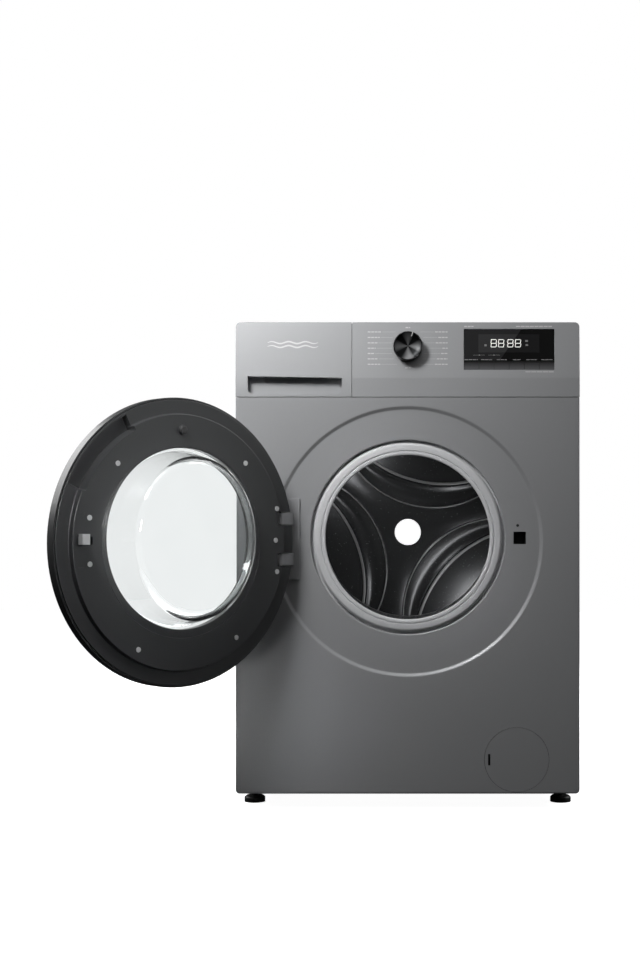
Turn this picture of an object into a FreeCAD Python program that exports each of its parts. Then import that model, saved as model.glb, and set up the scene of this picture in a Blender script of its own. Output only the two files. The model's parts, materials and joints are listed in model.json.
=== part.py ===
"""Front-loading washing machine, full size, as a parametric FreeCAD document.

Frame: +X to the right seen from the front, +Y to the rear, +Z up, millimetres.
The origin lies on the floor at the middle of the cabinet's footprint.
The door is modelled closed and hung open on its hinge axis by its Placement.
Depths written as "front + n" are n millimetres behind the cabinet's front face.
"""
import FreeCAD, Part
import math
import os
import re
import Sketcher
from FreeCAD import Placement, Rotation, Vector

SIZES = (
    ("cabinet_width", 596, "outside of one side panel to the other"),
    ("cabinet_depth", 480, "front face to rear face"),
    ("cabinet_height", 845, "floor to the top of the top panel"),
    ("floor_gap", 27.5, "floor to the underside of the cabinet"),
    ("sheet_steel", 1, "thickness of the cabinet sheets"),
    ("corner_radius", 7, "lower corners of the front panel"),
    ("top_corner_radius", 8, "upper corners of the control strip"),
    ("control_height", 130.7, "height of the strip with drawer and controls"),
    ("control_depth", 24, "depth of the control strip mouldings"),
    ("control_lean", 5.5, "how far the strip leans back at its top"),
    ("crease_height", 33.7, "upright lower part of the control strip"),
    ("plastic_wall", 2.5, "wall of the plastic mouldings"),
    ("panel_gap", 0.8, "shut line between neighbouring panels"),
    ("top_thickness", 18, "thickness of the top panel"),
    ("drawer_front_width", 201, "width of the drawer front"),
    ("tray_width", 170, "detergent tray, outside"),
    ("tray_height", 58, "detergent tray, outside"),
    ("tray_length", 270, "detergent tray, front to rear"),
    ("tray_clearance", 3, "free space between tray and housing"),
    ("housing_wall", 3, "wall of the drawer housing"),
    ("knob_radius", 25.4, "programme knob"),
    ("knob_x", 0.5, "centre of the knob from the middle"),
    ("knob_drop", 43.1, "centre of the knob below the top"),
    ("spindle_radius", 4, "spindle of the knob"),
    ("display_left", 97.3, "left edge of the display"),
    ("display_width", 157.2, "width of the display"),
    ("display_drop", 11.8, "top of the display below the top"),
    ("display_height", 71.3, "height of display and keys together"),
    ("key_height", 15.6, "height of one key"),
    ("key_gap", 0.6, "gap round a key"),
    ("recess_z", 464.7, "height of the door recess centre"),
    ("recess_radius", 234.7, "round recess in the front panel"),
    ("recess_depth", 3, "depth of the door recess"),
    ("opening_radius", 168, "loading opening in the front panel"),
    ("gasket_z", 472, "height of the gasket centre"),
    ("gasket_lip_radius", 142, "free opening through the gasket"),
    ("gasket_rim_radius", 164, "outside of the gasket's front ring"),
    ("rubber_wall", 3.5, "wall of the gasket bellows"),
    ("tub_z", 480, "height of the tub and drum axis"),
    ("tub_radius", 262, "inside radius of the tub"),
    ("tub_wall", 5, "wall of the tub"),
    ("tub_front_y", -160, "front wall of the tub"),
    ("tub_rear_y", 174, "inner face of the tub's rear wall"),
    ("tub_mouth_radius", 158.5, "inside of the tub's mouth collar"),
    ("flange_width", 9, "flange where the tub halves meet"),
    ("drum_radius", 240, "outside radius of the drum"),
    ("drum_sheet", 1.5, "drum sheet"),
    ("drum_front_y", -136.5, "front face of the drum"),
    ("drum_back_y", 150, "front face of the drum's back plate"),
    ("drum_mouth_radius", 150, "drum opening"),
    ("star_height", 9, "raised star on the drum back"),
    ("star_cut_radius", 190, "radius of the hollows between the star's arms"),
    ("star_cut_offset", 243, "centres of those hollows from the axis"),
    ("cap_radius", 27, "centre cap of the drum"),
    ("lifter_height", 48, "how far a lifter stands into the drum"),
    ("shaft_radius", 15, "drum shaft at the front bearing"),
    ("shaft_rear_radius", 12.5, "drum shaft at the rear bearing"),
    ("bearing_radius", 31, "outside of the front bearing"),
    ("bearing_rear_radius", 26, "outside of the rear bearing"),
    ("bearing_width", 16, "width of the front bearing"),
    ("bearing_rear_width", 15, "width of the rear bearing"),
    ("running_clearance", 0.05, "radial play of a shaft in its bore"),
    ("pulley_radius", 140, "drum pulley"),
    ("pulley_width", 16, "width of both pulleys"),
    ("motor_pulley_radius", 10, "motor pulley"),
    ("belt_thickness", 3, "drive belt"),
    ("belt_gap", 0.4, "gap between belt and pulleys"),
    ("motor_radius", 62, "motor housing"),
    ("motor_x", 110, "motor axis from the middle"),
    ("motor_z", 140, "height of the motor axis"),
    ("foot_radius", 18.5, "foot pad"),
    ("foot_height", 11, "foot pad"),
    ("foot_stem_radius", 5, "threaded stem of a foot"),
    ("foot_x", 273, "feet from the middle"),
    ("front_foot_set_back", 86, "front feet behind the front face"),
    ("rear_foot_set_back", 86, "rear feet ahead of the rear face"),
    ("hinge_x", -218.6, "door hinge axis"),
    ("hinge_stand_off", 30, "door hinge axis ahead of the front face"),
    ("hinge_pin_radius", 2.5, "door hinge pin"),
    ("hinge_arm_spacing", 70, "middle of one hinge arm to the other"),
    ("hinge_arm_height", 20, "height of a hinge arm"),
    ("hinge_z", 469, "middle of the hinge"),
    ("door_angle", 136.2, "angle at which the door stands open"),
    ("door_x", -1, "door centre from the middle"),
    ("door_radius", 232.5, "outside of the door"),
    ("door_skin", 2.5, "wall of the door's front ring"),
    ("frame_wall", 3, "wall of the door's rear frame"),
    ("door_rear_gap", 3, "closed door's rear frame ahead of the panel"),
    ("glass_z", 471, "height of the glass centre"),
    ("glass_wall", 4, "thickness of the glass bowl"),
    ("glass_radius", 141, "glass bowl at its rim"),
    ("glass_deep", 52, "bowl behind the panel face, lock side"),
    ("glass_shallow", 16, "bowl behind the panel face, hinge side"),
    ("glass_taper", 0.25, "how fast the bowl narrows"),
    ("lock_x", 194.2, "centre of the lock slot"),
    ("lock_z", 470.9, "centre of the lock slot"),
    ("lock_slot", 21.5, "side of the square lock slot"),
    ("hook_x", 190, "middle of the latch hook's shank"),
    ("filter_x", 188.9, "pump filter from the middle"),
    ("filter_z", 86.5, "height of the pump filter"),
    ("filter_cover_radius", 55.7, "filter cover"),
    ("filter_bore_radius", 30.3, "bore of the filter housing"),
    ("cover_gap", 0.6, "gap round the filter cover"),
    ("tongue_offset", 47, "filter cover's snap tongue from its centre"),
    ("inlet_x", -226, "water inlet from the middle"),
    ("inlet_z", 788, "height of the water inlet"),
    ("inlet_radius", 13.2, "threaded spout of the water inlet"),
    ("drain_radius", 11, "drain spigot"),
    ("gland_radius", 9, "gland of the mains lead"),
    ("spring_radius", 12, "suspension spring, wire centre"),
    ("spring_wire", 1.8, "radius of the spring wire"),
)

PLACES = {
    "half_width": "cabinet_width / 2",
    "front": "-cabinet_depth / 2",
    "rear": "cabinet_depth / 2",
    "strip_foot": "cabinet_height - control_height",
    "crease_z": "strip_foot + crease_height",
    "board_underside": "cabinet_height - top_thickness",
    "strip_rear": "front + control_depth",
    "drawer_right": "-half_width + drawer_front_width",
    "drawer_x": "-half_width + drawer_front_width / 2",
    "tray_foot": "strip_foot + 38",
    "housing_half": "tray_width / 2 + tray_clearance + housing_wall",
    "housing_foot": "tray_foot - tray_clearance - housing_wall",
    "housing_top": "tray_foot + tray_height + tray_clearance + housing_wall",
    "housing_rear": "strip_rear + tray_length + 14",
    "display_top": "cabinet_height - display_drop",
    "display_foot": "display_top - display_height",
    "knob_z": "cabinet_height - knob_drop",
    "recess_floor": "front + recess_depth",
    "tub_outside": "tub_radius + tub_wall",
    "tub_rear_face": "tub_rear_y + tub_wall + 1",
    "bearing_y": "tub_rear_y - 4",
    "bearing_shoulder": "bearing_y + bearing_width",
    "rear_bearing_y": "bearing_shoulder + 4",
    "hub_end": "rear_bearing_y + bearing_rear_width + 1",
    "pulley_y": "hub_end + 2",
    "star_y": "drum_back_y - star_height",
    "hinge_y": "front - hinge_stand_off",
    "latch_pin_y": "front - 9",
    "filter_front": "front + 14",
    "tongue_x": "filter_x + tongue_offset",
    "tub_tray_z": "floor_gap + 2.5",
}

os.makedirs("parts", exist_ok=True)
doc = FreeCAD.newDocument("FrontLoadWasher")
sheet = doc.addObject("Spreadsheet::Sheet", "Sizes")
for row, (alias, value, note) in enumerate(SIZES, start=1):
    sheet.set("A%d" % row, alias)
    sheet.set("B%d" % row, str(value))
    sheet.set("C%d" % row, note)
    sheet.setAlias("B%d" % row, alias)
doc.recompute()
ALIASES = {alias for alias, _, _ in SIZES}
NODES = []

# Placement that turns a solid made along Z, or drawn in the ground plane, onto another axis.
ALONG = {
    "X": Rotation(Vector(0, 1, 0), 90),
    "Y": Rotation(Vector(1, 0, 0), -90),
    "Z": Rotation(),
}
CENTRE_AXES = {"X": "yz", "Y": "xz", "Z": "xy"}


def size(alias):
    """Return one driving dimension as a number."""
    return float(sheet.get(alias))


def formula(text):
    """Return a formula with every name written the way the document reads it."""
    def expand(match):
        word = match.group()
        if word in PLACES:
            return "(" + formula(PLACES[word]) + ")"
        return "Sizes." + word if word in ALIASES else word
    return re.sub(r"[a-z_]{3,}", expand, str(text))


def bind(thing, prop, text):
    """Tie one property to the sheet."""
    thing.setExpression(prop, formula(text))


def put(thing, x=0, y=0, z=0):
    """Tie a solid's place to the sheet."""
    for letter, text in (("x", x), ("y", y), ("z", z)):
        bind(thing, "Placement.Base." + letter, text)
    return thing


def block(name, x, y, z):
    """Make a box from three (low, high) pairs of formulas."""
    box = doc.addObject("Part::Box", name)
    for prop, (low, high) in (("Length", x), ("Width", y), ("Height", z)):
        bind(box, prop, "(%s) - (%s)" % (high, low))
    return put(box, x[0], y[0], z[0])


def rod(name, axis, centre, span, radius):
    """Make a cylinder along an axis; centre holds its other two coordinates."""
    cylinder = doc.addObject("Part::Cylinder", name)
    bind(cylinder, "Radius", radius)
    bind(cylinder, "Height", "(%s) - (%s)" % (span[1], span[0]))
    cylinder.Placement = Placement(Vector(), ALONG[axis])
    place = dict(zip(CENTRE_AXES[axis], centre))
    place[axis.lower()] = span[0]
    return put(cylinder, **place)


def draw(body, role, corners):
    """Draw a closed outline in a body's own plane, each corner tied to the sheet."""
    sketch = body.newObject("Sketcher::SketchObject", body.Name + "Outline")
    plane = [item for item in body.Origin.OriginFeatures if item.Role == role][0]
    sketch.AttachmentSupport = [(plane, "")]
    sketch.MapMode = "FlatFace"
    count = len(corners)
    start = [Vector(math.cos(2 * math.pi * i / count), math.sin(2 * math.pi * i / count),
                    0) for i in range(count)]
    sketch.addGeometry([Part.LineSegment(start[i], start[(i + 1) % count]) for i in range(count)], False)
    ties = [Sketcher.Constraint("Coincident", i, 2, (i + 1) % count, 1) for i in range(count)]
    for i in range(count):
        ties.append(Sketcher.Constraint("DistanceX", -1, 1, i, 1, start[i].x))
        ties.append(Sketcher.Constraint("DistanceY", -1, 1, i, 1, start[i].y))
    sketch.addConstraint(ties)
    for i, (across, up) in enumerate(corners):
        sketch.setExpression("Constraints[%d]" % (count + 2 * i), formula(across))
        sketch.setExpression("Constraints[%d]" % (count + 2 * i + 1), formula(up))
    return sketch


def turned(name, axis, centre, outline):
    """Revolve an outline of (radius, place along the axis) about an axis."""
    body = doc.addObject("PartDesign::Body", name)
    sketch = draw(body, "XZ_Plane", outline)
    revolution = body.newObject("PartDesign::Revolution", name + "Turn")
    revolution.Profile = sketch
    revolution.ReferenceAxis = (sketch, ["V_Axis"])
    revolution.Angle = 360
    body.Placement = Placement(Vector(), ALONG[axis])
    return put(body, **dict(zip(CENTRE_AXES[axis], centre)))


PLATE_PLANES = {"X": ("YZ_Plane", 0, "yz"), "Y": ("XZ_Plane", 1, "xz"), "Z": ("XY_Plane", 0, "xy")}


def plate(name, axis, outline, span, rounded=None, corners=()):
    """Pad an outline along an axis from span[0] to span[1]; round the numbered corners."""
    role, base, letters = PLATE_PLANES[axis]
    body = doc.addObject("PartDesign::Body", name)
    sketch = draw(body, role, outline)
    pad = body.newObject("PartDesign::Pad", name + "Pad")
    pad.Profile = sketch
    bind(pad, "Length", "(%s) - (%s)" % (span[1], span[0]))
    put(body, **{axis.lower(): span[base]})
    if rounded:
        doc.recompute()
        marks = [sketch.Geometry[i].StartPoint for i in corners]
        edges = []
        for number, edge in enumerate(pad.Shape.Edges, start=1):
            ends = [vertex.Point for vertex in edge.Vertexes]
            flat = [tuple(getattr(point, letter) for letter in letters) for point in ends]
            if any(all(math.dist(end, (mark.x, mark.y)) < 1e-4 for end in flat) for mark in marks):
                edges.append("Edge%d" % number)
        fillet = body.newObject("PartDesign::Fillet", name + "Round")
        fillet.Base = (pad, edges)
        bind(fillet, "Radius", rounded)
    return body


def fuse(name, *pieces):
    """Join solids that make one piece."""
    joined = doc.addObject("Part::MultiFuse", name)
    joined.Shapes = list(pieces)
    joined.Refine = True
    return joined


def cut(name, base, *tools):
    """Take one or more solids away from a base."""
    result = doc.addObject("Part::Cut", name)
    result.Base = base
    result.Tool = tools[0] if len(tools) == 1 else fuse(name + "Tools", *tools)
    result.Refine = True
    return result


def group(name, pieces):
    """Keep identical separate solids together in one node."""
    compound = doc.addObject("Part::Compound", name)
    compound.Links = list(pieces)
    return compound


def node(label, thing):
    """Register a finished piece under the name of its file."""
    thing.Label = label
    NODES.append(thing)
    return thing


def place_about(thing, axis, angle, x, y, z):
    """Turn a finished solid by an angle about a line along an axis through a point."""
    text = "placement(vector(0; 0; 0); rotation(vector(%s); %s); vector(%s; %s; %s))"
    bind(thing, "Placement", text % (axis, angle, x, y, z))
    return thing


def polar(name, radius, angle, x0=0):
    """Return formulas for a point at a radius and angle about the tub axis, seen from the front."""
    return "%s + (%s) * cos(%s)" % (x0, radius, angle), "%s + (%s) * sin(%s)" % (name, radius, angle)


# ---------------------------------------------------------------- cabinet sheets

def make_front_panel():
    """Folded steel pan with the door recess, the loading opening and its smaller openings."""
    inside = "half_width - sheet_steel"
    pan = plate("FrontPan", "Y", (("-half_width", "floor_gap"), ("half_width", "floor_gap"),
                                  ("half_width", "strip_foot"), ("-half_width", "strip_foot")),
                ("front", "front + 20"), "corner_radius", (0, 1))
    hollow = plate("FrontPanHollow", "Y",
                   (("-(%s)" % inside, "floor_gap + sheet_steel"), (inside, "floor_gap + sheet_steel"),
                    (inside, "strip_foot - sheet_steel"), ("-(%s)" % inside,
                                                           "strip_foot - sheet_steel")),
                   ("front + sheet_steel", "front + 21"), "corner_radius - sheet_steel", (0, 1))
    clearing = rod("RecessClearing", "Y", (0, "recess_z"), ("front - 1", "front + 2"),
                   "recess_radius + sheet_steel / 2")
    dish = turned("RecessDish", "Y", (0, "recess_z"), (
        (0, "recess_floor"), ("recess_radius", "recess_floor"), ("recess_radius", "front"),
        ("recess_radius + sheet_steel", "front"),
        ("recess_radius + sheet_steel", "recess_floor + sheet_steel"),
        (0, "recess_floor + sheet_steel")))
    opening = rod("LoadingOpening", "Y", (0, "gasket_z"), ("front - 1", "front + 10"), "opening_radius")
    rolled = turned("RolledEdge", "Y", (0, "gasket_z"), (
        ("opening_radius", "recess_floor"), ("opening_radius + sheet_steel", "recess_floor"),
        ("opening_radius + sheet_steel", "recess_floor + 9"), ("opening_radius", "recess_floor + 9")))
    half_slot = "lock_slot / 2"
    slot = block("LockSlot", ("lock_x - " + half_slot, "lock_x + " + half_slot),
                 ("front - 1", "front + 8"),
                 ("lock_z - " + half_slot, "lock_z + " + half_slot))
    tell_tale = rod("LockHole", "Y", ("lock_x - 3.5", "lock_z + 21.5"), ("front - 1", "front + 8"), 2.5)
    filter_hole = rod("FilterHole", "Y", ("filter_x", "filter_z"), ("front - 1", "front + 8"),
                      "filter_cover_radius + cover_gap")
    shell = cut("FrontShell", pan, hollow, clearing)
    pressed = cut("FrontPressed", fuse("FrontWithDish", shell, dish),
                  opening, slot, tell_tale, filter_hole)
    node("front_panel", fuse("FrontPanel", pressed, rolled))


def make_side_panel(label, side):
    """Flat side sheet with a flange at the top and one at the rear."""
    low, high = ("half_width - sheet_steel", "half_width") if side > 0 else ("-half_width",
                                                                             "-half_width + sheet_steel")
    fold = ("half_width - 16", "half_width") if side > 0 else ("-half_width", "-half_width + 16")
    rear_edge = "rear - 1.5"
    skin = block(label + "Skin", (low, high), ("front + 20.5", rear_edge), ("floor_gap", "strip_foot"))
    upper_skin = block(label + "UpperSkin", (low, high), ("strip_rear + 0.5", rear_edge),
                       ("strip_foot", "board_underside"))
    rear_fold = block(label + "RearFold", fold, ("rear - 1.5 - sheet_steel", rear_edge),
                      ("floor_gap + 36", "board_underside"))
    top_fold = block(label + "TopFold", fold, ("strip_rear + 3", rear_edge),
                     ("board_underside - sheet_steel", "board_underside"))
    node(label, fuse(label + "Sheet", skin, upper_skin, rear_fold, top_fold))


def make_rear():
    """Rear sheet with its service opening, the cover over it and the connections' holes."""
    sheet_y = ("rear - sheet_steel", "rear")
    skin = block("RearSkin", ("-half_width + 1.5", "half_width - 1.5"),
                 sheet_y, ("floor_gap + 12", "board_underside - 2"))
    opening = block("ServiceOpening", (-150, 190), ("rear - 5", "rear + 5"), (110, 640))
    inlet_hole = rod("InletHole", "Y", ("inlet_x", "inlet_z"), ("rear - 5", "rear + 5"),
                     "inlet_radius + 2")
    drain_hole = rod("DrainHole", "Y", (DRAIN_X, DRAIN_Z), ("rear - 5", "rear + 5"), "drain_radius + 1")
    gland_hole = rod("GlandHole", "Y", (GLAND_X, GLAND_Z), ("rear - 5", "rear + 5"),
                     "gland_radius + running_clearance")
    node("rear_panel", cut("RearPanel", skin, opening, inlet_hole, drain_hole, gland_hole))
    lid = plate("ServiceLid", "Y", ((-162, 98), (202, 98), (202, 652), (-162, 652)),
                ("rear", "rear + 1.5"),
                14, (0, 1, 2, 3))
    node("rear_service_cover", lid)


def make_top():
    """Top board, level with the control strip, its upper side corners rounded."""
    board = plate("TopBoard", "Y", (("-half_width", "board_underside"),
                                    ("half_width", "board_underside"),
                                    ("half_width", "cabinet_height"), ("-half_width", "cabinet_height")),
                  ("strip_rear + 0.5", "rear"), "top_corner_radius", (2, 3))
    node("top_panel", board)


def make_base():
    """Base tray with threaded foot bosses and the lugs that hold the dampers."""
    half = "half_width - 1.5"
    outer = block("TrayOuter", ("-(%s)" % half, half), ("front + 21", "rear - 3"),
                  ("floor_gap", "floor_gap + 24"))
    inner = block("TrayInner", ("-(%s) + 2.5" % half, "%s - 2.5" % half), ("front + 23.5", "rear - 5.5"),
                  ("tub_tray_z", "floor_gap + 31"))
    bosses = []
    bores = []
    for x, y in FEET:
        bosses.append(rod("FootBoss", "Z", (x, y), ("floor_gap", "floor_gap + 29"), 14))
        bores.append(rod("FootBore", "Z", (x, y), ("floor_gap - 1", "floor_gap + 31"),
                         "foot_stem_radius + running_clearance"))
    lugs = []
    for side in (-1, 1):
        for y in DAMPER_LUGS:
            lugs.append(block("DamperLug", (side * DAMPER_FOOT[0] - 12, side * DAMPER_FOOT[0] + 12),
                              (y, y + 6),
                              ("floor_gap + 1", DAMPER_FOOT[1] + 12)))
            lugs.append(rod("DamperPin", "Y", (side * DAMPER_FOOT[0], DAMPER_FOOT[1]),
                            (DAMPER_LUGS[0], DAMPER_LUGS[1] + 6), 4))
    tray = cut("TrayShell", outer, inner)
    node("base_tray", cut("BaseTray", fuse("TrayWithBosses", tray, *(bosses + lugs)), *bores))


def make_braces():
    """Front cross rail with the drawer's window, and two bars across the top that carry the springs."""
    rail = block("FrontRail", ("-half_width + 1.5", "half_width - 1.5"),
                 ("strip_rear + 0.5", "strip_rear + 2"),
                 ("strip_foot + 2", "board_underside - 1.5"))
    window_half = "tray_width / 2 + tray_clearance"
    window = block("DrawerWindow", ("drawer_x - (%s)" % window_half, "drawer_x + %s" % window_half),
                   ("strip_rear", "strip_rear + 5"),
                   ("tray_foot - tray_clearance", "tray_foot + tray_height + tray_clearance"))
    rear_bar = block("RearBar", ("-half_width + 17", "half_width - 17"), (192, 212),
                     ("board_underside - 14", "board_underside - 1"))
    spring_bar = block("SpringBar", ("-half_width + 17", "half_width - 17"), SPRING_BAR_Y,
                       ("board_underside - 14", "board_underside - 1"))
    spools = [spring_spool(side, True) for side in (-1, 1)]
    node("frame_braces", group("FrameBraces", (cut("Rail", rail, window), rear_bar,
                                               fuse("SpringBarWithHangers", spring_bar, *spools))))


# ---------------------------------------------------------------- control strip

def strip_section(inset, foot, top):
    """Return the side outline of the control strip, drawn inwards by an inset."""
    return (("front + %s" % inset, foot), ("front + %s" % inset, "crease_z"),
            ("front + control_lean + %s" % inset, top), ("strip_rear + %s / 10" % inset, top),
            ("strip_rear + %s / 10" % inset, foot))


def strip_moulding(name, left, right, rounded_side):
    """Make one hollow moulding of the control strip, open at the back."""
    outer = plate(name + "Outer", "X", strip_section(0, "strip_foot + panel_gap", "cabinet_height"),
                  (left, right))
    edge_x = right if rounded_side > 0 else left
    inner = plate(name + "Inner", "X",
                  strip_section(2.5, "strip_foot + panel_gap + plastic_wall",
                                "cabinet_height - plastic_wall"),
                  ("%s + plastic_wall" % left, "%s - plastic_wall" % right))
    trims = []
    for label, size_text, inset in (("Outer", "top_corner_radius", 0),
                                    ("Inner", "(top_corner_radius - plastic_wall)", 2.5)):
        # A corner block less a cylinder takes off the square corner.
        near = "(%s) - (%s + %s) * %d" % (edge_x, size_text, inset, rounded_side)
        far = "(%s) - (%s) * %d" % (edge_x, inset, rounded_side)
        span = (near, far) if rounded_side > 0 else (far, near)
        height = ("cabinet_height - %s - %s" % (size_text, inset), "cabinet_height - %s" % inset)
        corner = block(name + label + "Corner", span, ("front - 1", "strip_rear + 1"), height)
        core = rod(name + label + "Core", "Y", (near, height[0]), ("front - 2", "strip_rear + 2"),
                   size_text)
        trims.append(cut(name + label + "Trim", corner, core))
    return cut(name + "Shell", cut(name + "Rounded", outer, trims[0]),
               cut(name + "Hollow", inner, trims[1]))


def lean_at(height):
    """Return the formula of the strip's front face at a height above its crease."""
    return "front + control_lean * ((%s) - crease_z) / (cabinet_height - crease_z)" % height


def make_fascia():
    """Control fascia with its display window, keys, knob and the board behind them."""
    shell = strip_moulding("Fascia", "drawer_right + panel_gap", "half_width", 1)
    window_hole = block("DisplayHole", ("display_left", "display_left + display_width"),
                        ("front - 1", "front + 15"),
                        ("display_foot", "display_top"))
    spindle_hole = rod("SpindleHole", "Y", ("knob_x", "knob_z"), ("front - 1", "front + 15"),
                       "spindle_radius + 2")
    node("control_fascia", cut("ControlFascia", shell, window_hole, spindle_hole))
    window_foot = "display_foot + key_height + key_gap"
    window_top = "display_top - 0.3"
    node("display_window", plate("DisplayWindow", "X", (
        (lean_at(window_foot), window_foot), (lean_at(window_top), window_top),
        (lean_at(window_top) + " + 3", window_top), (lean_at(window_foot) + " + 3", window_foot)),
        ("display_left + 0.3", "display_left + display_width - 0.3")))
    board = block("Board", ("knob_x - 40", "display_left + display_width + 8"),
                  ("front + 16", "front + 17.6"),
                  ("crease_z", "cabinet_height - 9"))
    encoder = block("Encoder", ("knob_x - 10", "knob_x + 10"), ("front + 11", "front + 16"),
                    ("knob_z - 10", "knob_z + 10"))
    bore = rod("EncoderBore", "Y", ("knob_x", "knob_z"), ("front + 5", "front + 20"),
               "spindle_radius + running_clearance")
    node("control_board", cut("ControlBoard", fuse("BoardWithEncoder", board, encoder), bore))
    head = turned("KnobHead", "Y", ("knob_x", "knob_z"), (
        (0, "front - 15"), ("knob_radius - 3.4", "front - 17"), ("knob_radius - 0.9", "front - 15.5"),
        ("knob_radius", "front + 0.6"), ("spindle_radius", "front + 0.6"),
        ("spindle_radius", "front + 17"),
        (0, "front + 17")))
    node("program_knob", head)
    for number in range(KEY_COUNT):
        left = "display_left + display_width / %d * %d" % (KEY_COUNT, number)
        right = "%s + display_width / %d - key_gap / 2" % (left, KEY_COUNT)
        foot = "display_foot + key_gap / 2"
        top = "display_foot + key_height - key_gap / 2"
        node("touch_key_%d" % (number + 1), plate("Key%d" % (number + 1), "X", (
            (lean_at(foot), foot), (lean_at(top), top), ("front + 13", top), ("front + 13", foot)),
            ("%s + key_gap / 2" % left, right)))


def make_drawer():
    """Detergent drawer: front with pull pocket, tray in three compartments, fixed housing."""
    outer = strip_moulding("DrawerFront", "-half_width", "drawer_right", -1)
    back = block("DrawerBack", ("-half_width + 1", "drawer_right - 1"), ("strip_rear - 3", "strip_rear"),
                 ("strip_foot + 2", "cabinet_height - 10"))
    pocket_box = block("PocketWall", ("-half_width + 18.5", "drawer_right - 14.5"),
                       ("front + 2", "strip_rear - 1"),
                       ("strip_foot + 3", "strip_foot + 53"))
    pocket = plate("Pocket", "Y", (("-half_width + 21", "strip_foot + 6.1"),
                                   ("drawer_right - 17", "strip_foot + 6.1"),
                                   ("drawer_right - 17", "strip_foot + 33.5"),
                                   ("-half_width + 21", "strip_foot + 36.4")),
                   ("front - 5", "front + 16"), 9, (0, 1))
    finger = block("FingerSlot", ("-half_width + 49", "drawer_right - 43"),
                   ("front + 5", "strip_rear - 4"),
                   ("strip_foot + 26.3", "strip_foot + 50"))
    node("drawer_front", cut("DrawerFrontPiece", fuse("DrawerFrontBody", outer, back, pocket_box),
                             pocket, finger))
    left = "drawer_x - tray_width / 2"
    right = "drawer_x + tray_width / 2"
    end = "strip_rear + tray_length"
    tray = block("TrayBody", (left, right), ("strip_rear", end),
                 ("tray_foot", "tray_foot + tray_height"))
    bays = []
    for start, stop in ((0, 0.32), (0.32, 0.66), (0.66, 1)):
        inner = "%s + plastic_wall / 2 + (tray_width - plastic_wall) *" % left
        span = ("%s %s + plastic_wall / 2" % (inner, start), "%s %s - plastic_wall / 2" % (inner, stop))
        bays.append(block("TrayBay", span,
                          ("strip_rear + plastic_wall", "%s - plastic_wall" % end),
                          ("tray_foot + plastic_wall", "tray_foot + tray_height + 1")))
    node("drawer_tray", cut("DrawerTray", tray, *bays))
    shell = block("HousingOuter", ("drawer_x - housing_half", "drawer_x + housing_half"),
                  ("strip_rear + 2.5", "housing_rear"),
                  ("housing_foot", "housing_top"))
    room = block("HousingRoom",
                 ("drawer_x - housing_half + housing_wall", "drawer_x + housing_half - housing_wall"),
                 ("strip_rear + 1", "housing_rear - housing_wall"),
                 ("housing_foot + housing_wall", "housing_top - housing_wall"))
    spout = rod("HousingSpout", "Z", FILL_AT, ("housing_foot - 14", "housing_foot + 1"), 13)
    spout_bore = rod("HousingSpoutBore", "Z", FILL_AT, ("housing_foot - 20", "housing_foot + 4"), 10)
    node("drawer_housing", cut("DrawerHousing", fuse("HousingWithSpout", shell, spout),
                               room, spout_bore))


# ---------------------------------------------------------------- water, power and pump

def make_services():
    """Inlet valve, drain and mains connections, pump, filter and hoses."""
    valve = block("ValveBlock", ("inlet_x - 20", "inlet_x + 20"), ("rear - 44", "rear - sheet_steel"),
                  ("inlet_z - 18", "inlet_z + 18"))
    spout = rod("InletSpout", "Y", ("inlet_x", "inlet_z"), ("rear - 5", "rear + 18"), "inlet_radius")
    spout_bore = rod("InletBore", "Y", ("inlet_x", "inlet_z"), ("rear + 2", "rear + 20"),
                     "inlet_radius - 3.5")
    pipe = rod("ValvePipe", "Y", ("inlet_x", "inlet_z"), ("housing_rear", "rear - 43"), 9)
    node("water_inlet_valve", cut("WaterInletValve", fuse("ValveBody", valve, spout, pipe), spout_bore))
    gland = turned("Gland", "Y", (GLAND_X, GLAND_Z), (
        (GLAND_BORE, "rear - 10"), ("gland_radius", "rear - 10"), ("gland_radius", "rear"),
        ("gland_radius + 4", "rear"), ("gland_radius + 3", "rear + 5"),
        ("gland_radius - 2", "rear + 12"),
        (GLAND_BORE, "rear + 12")))
    node("mains_gland", gland)
    make_pump()
    make_fill_hose()
    make_sump_hose()


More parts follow.
